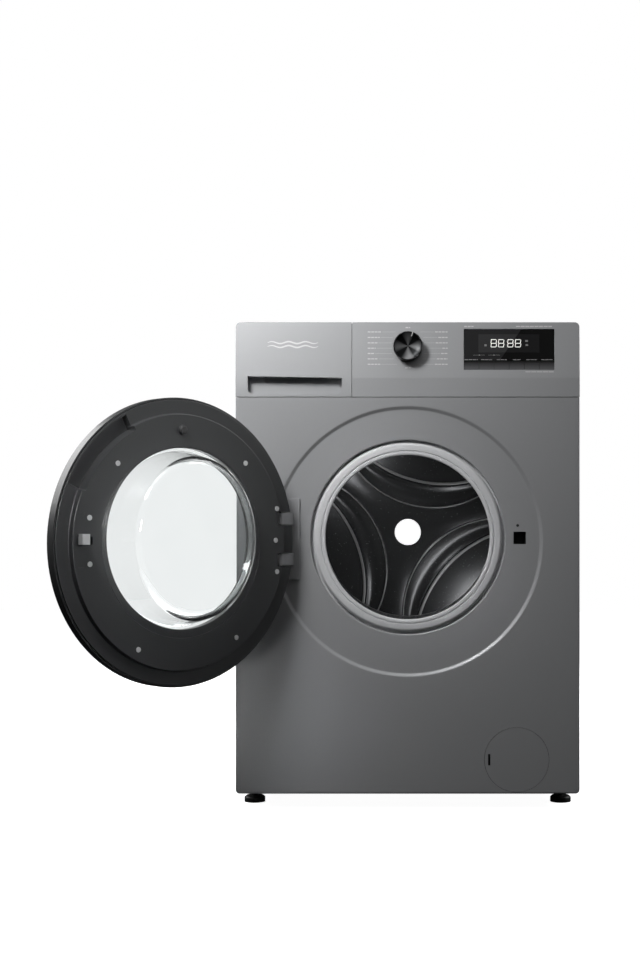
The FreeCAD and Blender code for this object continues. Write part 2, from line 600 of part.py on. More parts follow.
def make_pump():
    """Filter housing behind the front panel, its bayonet plug, the cover and the drain pump."""
    centre = ("filter_x", "filter_z")
    tube = turned("FilterTube", "Y", centre, (
        ("filter_bore_radius", "filter_front"), ("filter_bore_radius + 3.7", "filter_front"),
        ("filter_bore_radius + 3.7", "filter_front + 86"), ("filter_bore_radius", "filter_front + 86")))
    saddle = block("FilterSaddle", ("filter_x - 18", "filter_x + 18"),
                   ("filter_front + 26", "filter_front + 76"),
                   ("floor_gap + 2.5", "filter_z - filter_bore_radius - 1"))
    inlet = rod("FilterInlet", "Z", ("filter_x", "filter_front + 46"),
                ("filter_z + filter_bore_radius + 1", "filter_z + 54"), 13)
    inlet_bore = rod("FilterInletBore", "Z", ("filter_x", "filter_front + 46"),
                     ("filter_z + 10", "filter_z + 60"), 10)
    guides = []
    for low in (-TONGUE_HALF - 2.5 - GUIDE_THICKNESS, TONGUE_HALF + 2.5):
        guides.append(block("CoverGuide", ("tongue_x - 3", "tongue_x + 3"), ("front + 4", "front + 20"),
                            ("filter_z + %s" % low, "filter_z + %s" % (low + GUIDE_THICKNESS))))
    surround = turned("FilterSurround", "Y", centre, (
        ("filter_bore_radius + 3", "front + 17"), ("tongue_offset + 7", "front + 17"),
        ("tongue_offset + 7", "front + 20"), ("filter_bore_radius + 3", "front + 20")))
    housing = fuse("FilterHousingBody", tube, saddle, inlet, surround, *guides)
    node("filter_housing", cut("FilterHousing", housing, inlet_bore))
    disc = rod("CoverDisc", "Y", centre, ("front", "front + 3"), "filter_cover_radius")
    rib = turned("CoverRib", "Y", centre, (
        (36, "front + 2"), (38, "front + 2"), (38, "front + 6"), (36, "front + 6")))
    tongue = block("CoverTongue", ("tongue_x - 1.3", "tongue_x + 1.3"), ("front + 2", "front + 14"),
                   ("filter_z - %s" % TONGUE_HALF, "filter_z + %s" % TONGUE_HALF))
    coin_slot = block("CoinSlot", ("filter_x - 49.7", "filter_x - 45.7"), ("front - 1", "front + 5"),
                      ("filter_z - 10", "filter_z + 10"))
    node("filter_cover", cut("FilterCover", fuse("CoverBody", disc, rib, tongue), coin_slot))
    plug_body = turned("PlugBody", "Y", centre, (
        (0, "filter_front"), ("filter_bore_radius - 0.5", "filter_front"),
        ("filter_bore_radius - 0.5", "filter_front + 12"),
        (25, "filter_front + 12"), (25, "filter_front + 66"), (0, "filter_front + 66")))
    handle = block("PlugHandle", ("filter_x - 22", "filter_x + 22"),
                   ("filter_front - 5", "filter_front + 1"),
                   ("filter_z - 4", "filter_z + 4"))
    sieve = [rod("SieveHole", "X", ("filter_front + %d" % along, "filter_z"),
                 ("filter_x - 40", "filter_x + 40"), 5)
             for along in (24, 38, 52)]
    node("filter_plug", cut("FilterPlug", fuse("PlugSolid", plug_body, handle), *sieve))
    volute = rod("Volute", "Y", centre, ("filter_front + 86", "filter_front + 116"),
                 "filter_bore_radius + 6")
    pump_motor = rod("PumpMotor", "Y", centre, ("filter_front + 115", "filter_front + 160"), 26)
    drain_up = rod("DrainUp", "X", ("filter_front + 101", "filter_z + 20"), ("filter_x", DRAIN_RISE_X),
                   "drain_radius")
    riser = rod("DrainRiser", "Z", (DRAIN_RISE_X, "filter_front + 101"), ("filter_z + 9", DRAIN_Z),
                "drain_radius")
    knee = ball("DrainKnee", DRAIN_RISE_X, "filter_front + 101", DRAIN_Z, "drain_radius")
    run = rod("DrainRun", "Y", (DRAIN_RISE_X, DRAIN_Z), ("filter_front + 101", "rear - 48"),
              "drain_radius")
    knee_rear = ball("DrainKneeRear", DRAIN_RISE_X, "rear - 48", DRAIN_Z, "drain_radius")
    cross = rod("DrainCross", "X", ("rear - 48", DRAIN_Z), (DRAIN_X, DRAIN_RISE_X), "drain_radius")
    knee_end = ball("DrainKneeEnd", DRAIN_X, "rear - 48", DRAIN_Z, "drain_radius")
    spigot = rod("DrainSpigot", "Y", (DRAIN_X, DRAIN_Z), ("rear - 48", "rear + 22"), "drain_radius")
    collar = rod("DrainCollar", "Y", (DRAIN_X, DRAIN_Z), ("rear", "rear + 2"), "drain_radius + 4")
    spigot_bore = rod("DrainBore", "Y", (DRAIN_X, DRAIN_Z), ("rear - 20", "rear + 30"),
                      "drain_radius - 3")
    node("drain_pump", cut("DrainPump", fuse("PumpBody", volute, pump_motor, drain_up), volute_room()))
    node("drain_pipe", cut("DrainPipe", fuse("DrainPipeBody", riser, knee, run, knee_rear, cross,
                                             knee_end, spigot, collar),
                           spigot_bore, rod("DrainSeat", "X", ("filter_front + 101", "filter_z + 20"),
                                            ("filter_x",
                                             DRAIN_RISE_X), "drain_radius + running_clearance")))


def volute_room():
    """Return the chamber inside the pump's volute."""
    return rod("VoluteRoom", "Y", ("filter_x", "filter_z"), ("filter_front + 85", "filter_front + 112"),
               "filter_bore_radius")


def ball(name, x, y, z, radius):
    """Make a round knee between two pipe runs."""
    sphere = doc.addObject("Part::Sphere", name)
    bind(sphere, "Radius", radius)
    return put(sphere, x, y, z)


def make_fill_hose():
    """Short bellows between the drawer housing and the tub."""
    low = "tub_z + 237"
    high = "housing_foot - 14"
    step = "((%s) - (%s)) / 6" % (high, low)
    outline = [(11, low)]
    for count in range(7):
        outline.append((15 if count % 2 == 0 else 12.5, "%s + %s * %d" % (low, step, count)))
    outline.append((11, high))
    node("fill_hose", turned("FillHose", "Z", FILL_AT, outline))


def make_sump_hose():
    """Hose from the tub's lowest point to the filter, of straight runs and tangent arcs."""
    y_end = -size("cabinet_depth") / 2 + 60
    start = Vector(SUMP_AT[0], SUMP_AT[1], size("tub_z") - 275)
    end = Vector(size("filter_x"), y_end, size("filter_z") + 54)
    level = (start.z + end.z) / 2
    corners = [start, Vector(start.x, start.y, level), Vector(end.x, end.y, level), end]
    radius = 22
    edges = []
    last = corners[0]
    for i in (1, 2):
        back = (corners[i - 1] - corners[i]).normalize()
        ahead = (corners[i + 1] - corners[i]).normalize()
        turn = math.pi - back.getAngle(ahead)
        reach = radius * math.tan(turn / 2)
        enter = corners[i] + back * reach
        leave = corners[i] + ahead * reach
        bisector = (back + ahead).normalize()
        centre = corners[i] + bisector * (radius / math.cos(turn / 2))
        middle = centre - bisector * radius
        edges.append(Part.LineSegment(last, enter).toShape())
        edges.append(Part.Arc(enter, middle, leave).toShape())
        last = leave
    edges.append(Part.LineSegment(last, corners[3]).toShape())
    path = Part.Wire(edges)
    ring = Part.Wire([Part.Circle(start, Vector(0, 0, -1), 15).toShape()])
    hose = doc.addObject("Part::Feature", "SumpHose")
    hose.Shape = path.makePipeShell([ring], True, False)
    hose.Placement = Placement()
    node("sump_hose", hose)


# ---------------------------------------------------------------- tub and suspension

def spring_ends(side):
    """Return the top and foot of one suspension spring's axis."""
    top = Vector(side * SPRING_TOP[0],
                 SPRING_Y, size("cabinet_height") - size("top_thickness") - SPRING_TOP[1])
    foot = Vector(side * SPRING_FOOT[0], SPRING_Y, size("tub_z") + SPRING_FOOT[1])
    return top, foot


def spring_spool(side, upper):
    """Make the peg that holds one end of a suspension spring."""
    top, foot = spring_ends(side)
    axis = (foot - top).normalize()
    if not upper:
        top, axis = foot, axis * -1
    peg = doc.addObject("Part::Feature", "SpringPeg")
    peg.Shape = Part.makeCylinder(size("spring_radius") - size("spring_wire") - 0.5, 22, top - axis * 8,
                                  axis)
    peg.Placement = Placement()
    return peg


def make_springs():
    """Two tension springs that carry the tub."""
    springs = []
    for side in (-1, 1):
        top, foot = spring_ends(side)
        axis = foot - top
        length = axis.Length
        pitch = length / 13
        helix = Part.makeHelix(pitch, length, size("spring_radius"))
        wire = Part.Wire([Part.Circle(Vector(size("spring_radius"), 0, 0), Vector(0, 1, 0),
                                      size("spring_wire")).toShape()])
        coil = Part.Wire(helix.Edges).makePipeShell([wire], True, True)
        coil.Placement = Placement(top, Rotation(Vector(0, 0, 1), axis))
        spring = doc.addObject("Part::Feature", "Spring")
        spring.Shape = coil
        springs.append(spring)
    node("suspension_springs", group("SuspensionSprings", springs))


def make_dampers():
    """Two friction dampers between the base tray and the tub."""
    solids = []
    for side in (-1, 1):
        foot = Vector(side * DAMPER_FOOT[0], DAMPER_Y, DAMPER_FOOT[1])
        head = Vector(side * DAMPER_HEAD[0], DAMPER_Y, size("tub_z") + DAMPER_HEAD[1])
        axis = (head - foot).normalize()
        length = head.distanceToPoint(foot)
        across = Vector(0, 1, 0)
        barrel = Part.makeCylinder(14, 94, foot + axis * 24, axis)
        neck = Part.makeCylinder(9, 30, foot, axis)
        foot_eye = Part.makeCylinder(10, 20, foot - across * 10, across)
        rod_solid = Part.makeCylinder(6, length - 40, foot + axis * 32, axis)
        head_eye = Part.makeCylinder(10, 20, head - across * 10, across)
        body = barrel.fuse([neck, foot_eye, rod_solid, head_eye])
        for centre, radius in ((foot, 4.1), (head, 4.6)):
            body = body.cut(Part.makeCylinder(radius, 40, centre - across * 20, across))
        damper = doc.addObject("Part::Feature", "Damper")
        damper.Shape = body
        damper.Placement = Placement()
        solids.append(damper)
    node("suspension_dampers", group("SuspensionDampers", solids))


def make_tub():
    """Two tub halves with mouth collar, bearing hub, lugs and screws, and the counterweights."""
    axis = (0, "tub_z")
    rim = "tub_outside + flange_width"
    bell = turned("TubBell", "Y", axis, (
        (0, "tub_front_y"), ("tub_outside", "tub_front_y"), ("tub_outside", -6), (rim, -6), (rim, 0),
        ("tub_radius", 0), ("tub_radius", "tub_front_y + tub_wall"), (0, "tub_front_y + tub_wall")))
    mouth = rod("TubMouth", "Y", (0, "gasket_z"), ("tub_front_y - 5", "tub_front_y + 10"),
                "tub_mouth_radius")
    collar = turned("TubCollar", "Y", (0, "gasket_z"), (
        ("tub_mouth_radius", "tub_front_y - 18"), ("tub_mouth_radius + 5", "tub_front_y - 18"),
        ("tub_mouth_radius + 5", "tub_front_y + 5"), ("tub_mouth_radius", "tub_front_y + 5")))
    inside = rod("TubInside", "Y", axis, ("tub_front_y + tub_wall", 0), "tub_radius")
    spigot = rod("SumpSpigot", "Z", SUMP_AT, ("tub_z - 275", "tub_z - 240"), 13)
    spigot_bore = rod("SumpBore", "Z", SUMP_AT, ("tub_z - 280", "tub_z - 235"), 10)
    filler = rod("FillSpigot", "Z", FILL_AT, ("tub_z + 200", "tub_z + 237"), 13)
    filler_bore = rod("FillBore", "Z", FILL_AT, ("tub_z + 195", "tub_z + 240"), 10)
    lugs = []
    for side in (-1, 1):
        for y in DAMPER_LUGS:
            lugs.append(block("TubLug", (side * DAMPER_HEAD[0] - 11, side * DAMPER_HEAD[0] + 11),
                              (y, y + 6),
                              ("tub_z + %s" % (DAMPER_HEAD[1] - 11), "tub_z - 200")))
        lugs.append(rod("TubLugPin", "Y", (side * DAMPER_HEAD[0], "tub_z + %s" % DAMPER_HEAD[1]),
                        (DAMPER_LUGS[0], DAMPER_LUGS[1] + 6), 4))
    front_body = fuse("TubFrontBody", cut("TubFrontOpen", bell, mouth), collar, spigot, filler, *lugs)
    front_holes = tub_screw_rods("TubFrontHole", -7, 1, 2.5)
    node("tub_front", cut("TubFront", front_body, inside, spigot_bore, filler_bore, *front_holes))

    rear_bell = turned("TubRearBell", "Y", axis, (
        ("bearing_radius", "tub_rear_y - 11"), ("bearing_radius + 11", "tub_rear_y - 11"),
        ("bearing_radius + 11", "tub_rear_y"), ("tub_radius", "tub_rear_y"), ("tub_radius", 0),
        (rim, 0), (rim, 6),
        ("tub_outside", 6), ("tub_outside", "tub_rear_face"), ("bearing_radius + 13", "tub_rear_face"),
        ("bearing_radius + 13", "hub_end"), ("bearing_rear_radius", "hub_end"),
        ("bearing_rear_radius", "rear_bearing_y"),
        ("bearing_rear_radius - 3", "rear_bearing_y"), ("bearing_rear_radius - 3", "bearing_shoulder"),
        ("bearing_radius", "bearing_shoulder")))
    saddles = []
    for side in (-1, 1):
        saddles.append(block("SpringLug", (side * SPRING_FOOT[0] - 16, side * SPRING_FOOT[0] + 16),
                             (SPRING_Y - 12, SPRING_Y + 12),
                             ("tub_z + 130", "tub_z + %s" % (SPRING_FOOT[1] - 8))))
        saddles.append(spring_spool(side, False))
    for low in MOTOR_HANGERS:
        saddles.append(block("MotorHanger", ("motor_x - 16", "motor_x + 16"), (low, low + 8),
                             ("motor_z + motor_radius - 8", "tub_z - 225")))
    inside_rear = rod("TubInsideRear", "Y", axis, (0, "tub_rear_y"), "tub_radius")
    hub_room = turned("HubKeep", "Y", axis, (("bearing_radius", "tub_rear_y - 11"),
                                             ("bearing_radius + 11", "tub_rear_y - 11"),
                                             ("bearing_radius + 11", "tub_rear_y"),
                                             ("bearing_radius", "tub_rear_y")))
    legs = [rod("HeaterHole", "Y", (x, HEATER_Z), ("tub_rear_y - 5", "tub_rear_y + 12"),
                3.6) for x in (-22, 22)]
    motor_room = rod("MotorRoom", "Y", ("motor_x", "motor_z"), (0, 200), "motor_radius")
    hanger_bore = rod("HangerBore", "Y", ("motor_x", "motor_z + motor_radius + 10"), (20, 180), 5)
    room = cut("TubRoom", inside_rear, hub_room)
    node("tub_rear", cut("TubRear", fuse("TubRearBody", rear_bell, *saddles),
                         room, motor_room, hanger_bore,
                         *(legs + tub_screw_rods("TubRearHole", -1, 7, 2.5))))
    make_counterweights()


def tub_screw_rods(name, low, high, radius):
    """Return rods round the tub's flange, one for each screw."""
    return [rod(name, "Y", polar("tub_z", "tub_outside + flange_width / 2", 30 * i + 15), (low, high),
                radius)
            for i in range(12)]


def make_counterweights():
    """Cast weights: one under the mouth on the tub's front, one on its top."""
    lower = turned("LowerWeight", "Y", (0, "tub_z"), (
        (192, "tub_front_y - 38"), ("tub_radius", "tub_front_y - 38"),
        ("tub_radius", "tub_front_y"),
        (192, "tub_front_y")))
    above = block("AboveWeight", (-300, 300), ("tub_front_y - 40", "tub_front_y + 2"),
                  ("tub_z - 20", "tub_z + 300"))
    upper = block("UpperWeight", (-80, 170), (62, 165), ("tub_z + 190", "tub_z + 312"))
    arch = rod("WeightArch", "Y", (0, "tub_z"), (50, 180), "tub_outside")
    node("counterweights", group("Counterweights", (cut("FrontWeight", lower, above),
                                                    cut("TopWeight", upper, arch))))


def make_drive():
    """Bearings, motor, belt, heater and the motor's pulley."""
    axis = (0, "tub_z")
    front_bearing = turned("FrontBearing", "Y", axis, (
        ("shaft_radius + running_clearance", "bearing_y"), ("bearing_radius", "bearing_y"),
        ("bearing_radius", "bearing_shoulder"),
        ("shaft_radius + running_clearance", "bearing_shoulder")))
    rear_bearing = turned("RearBearing", "Y", axis, (
        ("shaft_rear_radius + running_clearance", "rear_bearing_y"),
        ("bearing_rear_radius", "rear_bearing_y"),
        ("bearing_rear_radius", "rear_bearing_y + bearing_rear_width"),
        ("shaft_rear_radius + running_clearance", "rear_bearing_y + bearing_rear_width")))
    node("drum_bearings", group("DrumBearings", (front_bearing, rear_bearing)))
    centre = ("motor_x", "motor_z")
    can = turned("MotorCan", "Y", centre, (
        (0, 32), (24, 32), (24, 38), ("motor_radius - 6", 38), ("motor_radius", 44),
        ("motor_radius", 160),
        ("motor_radius - 6", 166), (20, 166), (20, 176), (0, 176)))
    ear = block("MotorEar", ("motor_x - 12", "motor_x + 12"), (48, 148),
                ("motor_z + motor_radius - 6", "motor_z + motor_radius + 18"))
    bolt = rod("MotorBolt", "Y", ("motor_x", "motor_z + motor_radius + 10"), (26, 170), 5)
    bore = rod("MotorBore", "Y", centre, (150, 180), "6 + running_clearance")
    node("motor", cut("Motor", fuse("MotorBody", can, ear, bolt), bore))
    pulley = turned("MotorPulley", "Y", centre, (
        (0, 152), (6, 152), (6, "pulley_y"), ("motor_pulley_radius", "pulley_y"),
        ("motor_pulley_radius", "pulley_y + pulley_width"), (0, "pulley_y + pulley_width")))
    node("motor_pulley", pulley)
    make_belt()
    bend = doc.addObject("Part::Torus", "HeaterBend")
    bend.Radius1 = 22
    bend.Radius2 = 3.6
    bend.Angle3 = 180
    bend.Placement = Placement(Vector(), Rotation(Vector(0, 0, 1), 180))
    put(bend, 0, -80, HEATER_Z)
    legs = [rod("HeaterLeg", "Y", (x, HEATER_Z), (-80, "tub_rear_face + 12"), 3.6) for x in (-22, 22)]
    foot = block("HeaterFoot", (-34, 34), ("tub_rear_face", "tub_rear_face + 4"),
                 (HEATER_Z + " - 8", HEATER_Z + " + 9"))
    node("heater", fuse("Heater", bend, foot, *legs))


def make_belt():
    """Flat belt round both pulleys: two arcs and the two tangent runs between them."""
    far = Vector(size("motor_x"), 0, size("motor_z"))
    near = Vector(0, 0, size("tub_z"))
    span = far - near
    reach = span.Length
    along = Vector(span).normalize()
    across = Vector(along.z, 0, -along.x)
    big = size("pulley_radius") + size("belt_gap")
    small = size("motor_pulley_radius") + size("belt_gap")

    def loop(extra):
        slope = (big - small) / reach
        side = math.sqrt(1 - slope * slope)
        points = []
        for sign in (1, -1):
            normal = along * slope + across * (side * sign)
            points.append((near + normal * (big + extra), far + normal * (small + extra)))
        arc_big = Part.Arc(points[0][0], near - along * (big + extra), points[1][0])
        arc_small = Part.Arc(points[1][1], far + along * (small + extra), points[0][1])
        edges = [arc_big, Part.LineSegment(points[1][0], points[1][1]), arc_small,
                 Part.LineSegment(points[0][1], points[0][0])]
        return Part.Face(Part.Wire([edge.toShape() for edge in edges]))

    band = loop(size("belt_thickness")).cut(loop(0))
    belt = doc.addObject("Part::Feature", "DriveBelt")
    belt.Shape = band.extrude(Vector(0, 12, 0))
    put(belt, 0, "pulley_y + 2", 0)
    node("drive_belt", belt)


# ---------------------------------------------------------------- drum

def make_drum():
    """Drum shell, back plate with raised star, lifters, cap, spider with shaft, and pulley."""
    axis = (0, "tub_z")
    inner = "drum_radius - drum_sheet"
    node("drum_shell", turned("DrumShell", "Y", axis, (
        ("drum_mouth_radius", "drum_front_y - 11.5"),
        ("drum_mouth_radius + drum_sheet", "drum_front_y - 11.5"),
        ("drum_mouth_radius + drum_sheet", "drum_front_y"),
        ("drum_radius", "drum_front_y"),
        ("drum_radius", "drum_back_y"),
        (inner, "drum_back_y"), (inner, "drum_front_y + drum_sheet"),
        ("drum_mouth_radius", "drum_front_y + drum_sheet"))))
    back = rod("BackPlate", "Y", axis, ("drum_back_y", "drum_back_y + drum_sheet"), "drum_radius")
    star = turned("StarDisc", "Y", axis, ((0, "star_y"), (166, "star_y"), (176, "drum_back_y"),
                                          (176, "drum_back_y + 1"),
                                          (0, "drum_back_y + 1")))
    hollows = [rod("StarHollow", "Y", polar("tub_z", "star_cut_offset", angle),
                   ("star_y - 1", "drum_back_y"), "star_cut_radius")
               for angle in LENS_ANGLES]
    node("drum_back", fuse("DrumBack", back, cut("Star", star, *hollows)))
    node("drum_cap", turned("DrumCap", "Y", axis, (
        (0, "star_y - 6"), ("cap_radius - 7", "star_y - 5"), ("cap_radius", "star_y"), (0, "star_y"))))
    lifters = []
    tip = "drum_radius - lifter_height"
    root = "drum_radius - 4"
    for angle in LENS_ANGLES:
        lifter = plate("Lifter", "Y", ((root, "tub_z - 32"), (tip + " + 8", "tub_z - 15"),
                                       (tip, "tub_z - 8"),
                                       (tip, "tub_z + 8"), (tip + " + 8", "tub_z + 15"),
                                       (root, "tub_z + 32")),
                       ("drum_front_y + 12", "drum_back_y - 12"))
        turned_lifter = group("LifterTurned", (lifter,))
        lifters.append(place_about(turned_lifter, "0; -1; 0", angle, 0, 0, "tub_z"))
    node("drum_lifters", group("DrumLifters", lifters))
    arms = []
    for angle in ARM_ANGLES:
        for low, high, start, stop, half in (("drum_back_y + drum_sheet", "bearing_y - 8.5", 0, 214, 22),
                                             ("bearing_y - 8.5", "bearing_y - 1", 60, 200, 9)):
            arm = block("SpiderArm", (start, stop), (low, high),
                        ("tub_z - %d" % half, "tub_z + %d" % half))
            arms.append(place_about(group("SpiderArmTurned", (arm,)), "0; -1; 0", angle, 0, 0, "tub_z"))
    hub = rod("SpiderHub", "Y", axis, ("drum_back_y + drum_sheet", "bearing_y - 8.5"),
              "bearing_radius + 6")
    shaft = turned("Shaft", "Y", axis, (
        (0, "drum_back_y + drum_sheet"), ("shaft_radius", "drum_back_y + drum_sheet"),
        ("shaft_radius", "bearing_shoulder + 2"),
        ("shaft_rear_radius", "bearing_shoulder + 2"), ("shaft_rear_radius", "hub_end + 1"),
        (10, "hub_end + 1"),
        (10, "pulley_y + pulley_width"), (0, "pulley_y + pulley_width")))
    node("drum_spider", fuse("DrumSpider", hub, shaft, *arms))
    wheel = turned("PulleyWheel", "Y", axis, (
        (10, "pulley_y"), (24, "pulley_y"), (24, "pulley_y + 6"), ("pulley_radius - 8", "pulley_y + 6"),
        ("pulley_radius - 8", "pulley_y"), ("pulley_radius", "pulley_y"),
        ("pulley_radius", "pulley_y + pulley_width"),
        ("pulley_radius - 8", "pulley_y + pulley_width"), ("pulley_radius - 8", "pulley_y + 10"),
        (24, "pulley_y + 10"),
        (24, "pulley_y + pulley_width"), (10, "pulley_y + pulley_width")))
    windows = [rod("PulleyWindow", "Y", polar("tub_z", 78, 72 * i),
                   ("pulley_y", "pulley_y + pulley_width"), 34) for i in range(5)]
    node("drum_pulley", cut("DrumPulley", wheel, *windows))


def make_gasket():
    """Rubber door gasket: front ring with a fine groove, bellows and the sleeve on the tub's collar."""
    collar = "tub_mouth_radius + 5.2"
    sleeve_end = "tub_front_y - 4"
    node("door_gasket", turned("DoorGasket", "Y", (0, "gasket_z"), (
        ("gasket_lip_radius", "front + 2"),
        ("gasket_lip_radius + 7", "front + 2"), ("gasket_lip_radius + 7.5", "front + 3"),
        ("gasket_lip_radius + 8", "front + 2"),
        ("gasket_rim_radius", "front + 2"), ("gasket_rim_radius", "front + 12.5"),
        ("opening_radius + 7", "front + 12.5"), ("opening_radius + 7", "front + 17"),
        ("gasket_rim_radius - 0.5", "front + 17"), ("gasket_rim_radius - 0.5", "front + 26"),
        ("gasket_rim_radius + 12", "front + 33"), ("gasket_rim_radius + 12", "front + 38"),
        ("gasket_rim_radius - 3", "front + 46"), (collar + " + rubber_wall", "front + 58"),
        (collar + " + rubber_wall", sleeve_end), (collar, sleeve_end), (collar, "front + 61"),
        ("gasket_rim_radius - 6.5", "front + 46.5"), ("gasket_rim_radius + 8.5", "front + 37"),
        ("gasket_rim_radius + 8.5", "front + 34.5"), ("gasket_rim_radius - 4", "front + 28"),
        ("gasket_rim_radius - 4", "front + 13"),
        ("gasket_lip_radius + 6", "front + 7"), ("gasket_lip_radius", "front + 5"))))


# ---------------------------------------------------------------- door

def hang(thing):
    """Swing a piece of the closed door to where the door stands open."""
    return place_about(thing, "0; 0; 1", "-door_angle", "hinge_x", "hinge_y", 0)


def ahead(distance):
    """Return the place a distance ahead of the front face, negative behind it."""
    return "front - (%s)" % distance


def arm_sweep(name, level):
    """Return the space a hinge arm sweeps inside the door between shut and open."""
    corners = [("hinge_x + 4", "hinge_y - 6.5")]
    corners += [("hinge_x + 44 * cos(%d)" % angle, "hinge_y + 44 * sin(%d)" % angle)
                for angle in (38, 66, 94, 122)]
    corners += [("hinge_x - 26", "hinge_y + 14"), ("hinge_x - 26", "hinge_y - 10"),
                ("hinge_x - 6", "hinge_y - 8.8")]
    half = "hinge_arm_height / 2 + 1.5"
    return plate(name, "Z", corners, ("%s - (%s)" % (level, half), "%s + %s" % (level, half)))


def make_hinge():
    """Bracket with two arms on the front panel, and the pin the door turns on."""
    base = block("HingePlate", ("hinge_x + 5.6", "hinge_x + 31.6"), ("front - 1", "recess_floor"),
                 ("hinge_z - 70", "hinge_z + 70"))
    pieces = [base]
    bores = []
    for sign in (-1, 1):
        level = "hinge_z + (%d) * hinge_arm_spacing / 2" % sign
        span = ("%s - hinge_arm_height / 2" % level, "%s + hinge_arm_height / 2" % level)
        pieces.append(plate("HingeArm", "Z", (
            ("hinge_x - 4", "hinge_y + 2"), ("hinge_x + 4", "hinge_y - 2"),
            ("hinge_x + 22", "front"),
            ("hinge_x + 12", "front")),
            span))
        pieces.append(rod("HingeEye", "Z", ("hinge_x", "hinge_y"), span, "hinge_pin_radius + 3"))
        bores.append(rod("HingeBore", "Z", ("hinge_x", "hinge_y"),
                         ("%s - 1" % span[0], "%s + 1" % span[1]),
                         "hinge_pin_radius + running_clearance"))
    node("hinge_bracket", cut("HingeBracket", fuse("HingeBody", *pieces), *bores))
    reach = "hinge_arm_spacing / 2 + hinge_arm_height / 2 + 4"
    node("hinge_pin", hang(group("HingePin", (rod("Pin", "Z", ("hinge_x", "hinge_y"), (
        "hinge_z - (%s)" % reach, "hinge_z + %s" % reach), "hinge_pin_radius"),))))


def make_door():
    """Door: convex front ring, rear frame, glass bowl, screws, buffer and latch hook."""
    centre = ("door_x", "recess_z")
    glass = ("door_x", "glass_z")
    sweeps = [arm_sweep("ArmSweep", "hinge_z + (%d) * hinge_arm_spacing / 2" % sign) for sign in (-1, 1)]
    skin = turned("RingSkin", "Y", centre, (
        (130, ahead(37)), (160, ahead(40.5)), (185, ahead(42)),
        ("door_radius - 22.5", ahead(42)),
        ("door_radius - 7.5", ahead(39)),
        ("door_radius", ahead(31)), ("door_radius", ahead(14)), ("door_radius - door_skin", ahead(14)),
        ("door_radius - door_skin", ahead(30)),
        ("door_radius - 8.9", ahead(36.6)), ("door_radius - 22.9", ahead(39.5)),
        (185, ahead(39.5)), (160, ahead(38)), (130, ahead(34.5))))
    bore = rod("RingBore", "Y", glass, (ahead(50), ahead(10)), 150)
    lip = turned("RingLip", "Y", glass, ((150, ahead(38.6)), (152.5, ahead(38.8)), (152.5, ahead(20.2)),
                                         (150, ahead(20.2))))
    block_z = ("hinge_z - 23", "hinge_z + 23")
    holder = block("PinHolder", ("hinge_x - 7", "hinge_x + 11"), (ahead(38.5), ahead(15.2)), block_z)
    pin_hole = rod("PinHole", "Z", ("hinge_x", "hinge_y"), ("hinge_z - 60", "hinge_z + 60"),
                   "hinge_pin_radius")
    ring = fuse("RingBody", cut("RingOpen", skin, bore), lip, holder)
    node("door_outer_ring", hang(cut("DoorOuterRing", ring, pin_hole, *sweeps)))

    rear_face = "door_rear_gap"
    face = "front - %s" % rear_face
    inside_face = "front - %s - frame_wall" % rear_face
    dish = turned("FrameDish", "Y", centre, (
        (0, face), (205, face), (205, ahead(12)),
        ("door_radius - 3.3", ahead(12)), ("door_radius - 3.3", ahead(15)),
        ("205 - frame_wall", ahead(15)), ("205 - frame_wall", inside_face), (0, inside_face)))
    hole = rod("GlassHole", "Y", glass, (ahead(20), ahead(-5)), "glass_radius + 4")
    seat = turned("GlassSeat", "Y", glass, (
        ("glass_radius + 4", face), ("glass_radius + 7", face),
        ("glass_radius + 7", ahead(16)),
        ("glass_radius + 4", ahead(16))))
    hook_slot = block("HookSlot", ("hook_x - 10", "hook_x + 10"), (ahead(16), ahead(0)),
                      ("lock_z - 13", "lock_z + 13"))
    screw_holes = [rod("ScrewHole", "Y", (x, z), (ahead(10), ahead(0)),
                       SCREW_SHANK + 0.05) for x, z in DOOR_SCREWS]
    grips = [plate("GripCut", "Y", (polar("recess_z", 208, 24, "door_x"),
                                    polar("recess_z", 226, 24, "door_x"),
                                    polar("recess_z", 228, 43, "door_x"), polar("recess_z", 226, 62,
                                                                                "door_x"),
                                    polar("recess_z", 208, 62, "door_x"), polar("recess_z", 206, 43,
                                                                                "door_x")),
                   (ahead(16), ahead(5)))]
    cheeks = hook_cheeks()
    node("door_inner_frame", hang(cut("DoorInnerFrame", fuse("FrameBody",
                                                             cut("FrameDishOpen", dish,
                                                                 hole), seat, *cheeks),
                                      hook_slot, *(screw_holes + grips + sweeps))))
    make_glass(glass)
    screws = []
    for x, z in DOOR_SCREWS:
        head = rod("ScrewHead", "Y", (x, z), (ahead("door_rear_gap"), ahead("door_rear_gap - 1.3")), 4.2)
        shank = rod("ScrewShank", "Y", (x, z), (ahead("door_rear_gap + 9"), ahead("door_rear_gap - 1")),
                    SCREW_SHANK)
        screws.append(fuse("DoorScrew", head, shank))
    node("door_screws", hang(group("DoorScrews", screws)))
    node("door_buffer", hang(group("DoorBuffer", (turned("Buffer", "Y",
                                                  ("door_x + 4", "recess_z + 180.3"), (
        (0, face), (8, face), (7, ahead(-1)), (5, ahead(-2.6)), (0, ahead(-2.6)))),))))
    hook = plate("HookShank", "Z", (
        ("hook_x - 3.5", "latch_pin_y - 5"), ("hook_x + 3.5", "latch_pin_y - 5"),
        ("hook_x + 3.5", "front + 10"),
        ("hook_x + 9", "front + 12"), ("hook_x + 9", "front + 17"),
        ("hook_x", "front + 22"),
        ("hook_x - 3.5", "front + 18")),
        ("lock_z - 8", "lock_z + 8"))
    trunnion = rod("HookTrunnion", "Z", ("hook_x", "latch_pin_y"), ("lock_z - 16", "lock_z + 16"), 2)
    node("latch_hook", hang(fuse("LatchHook", hook, trunnion)))


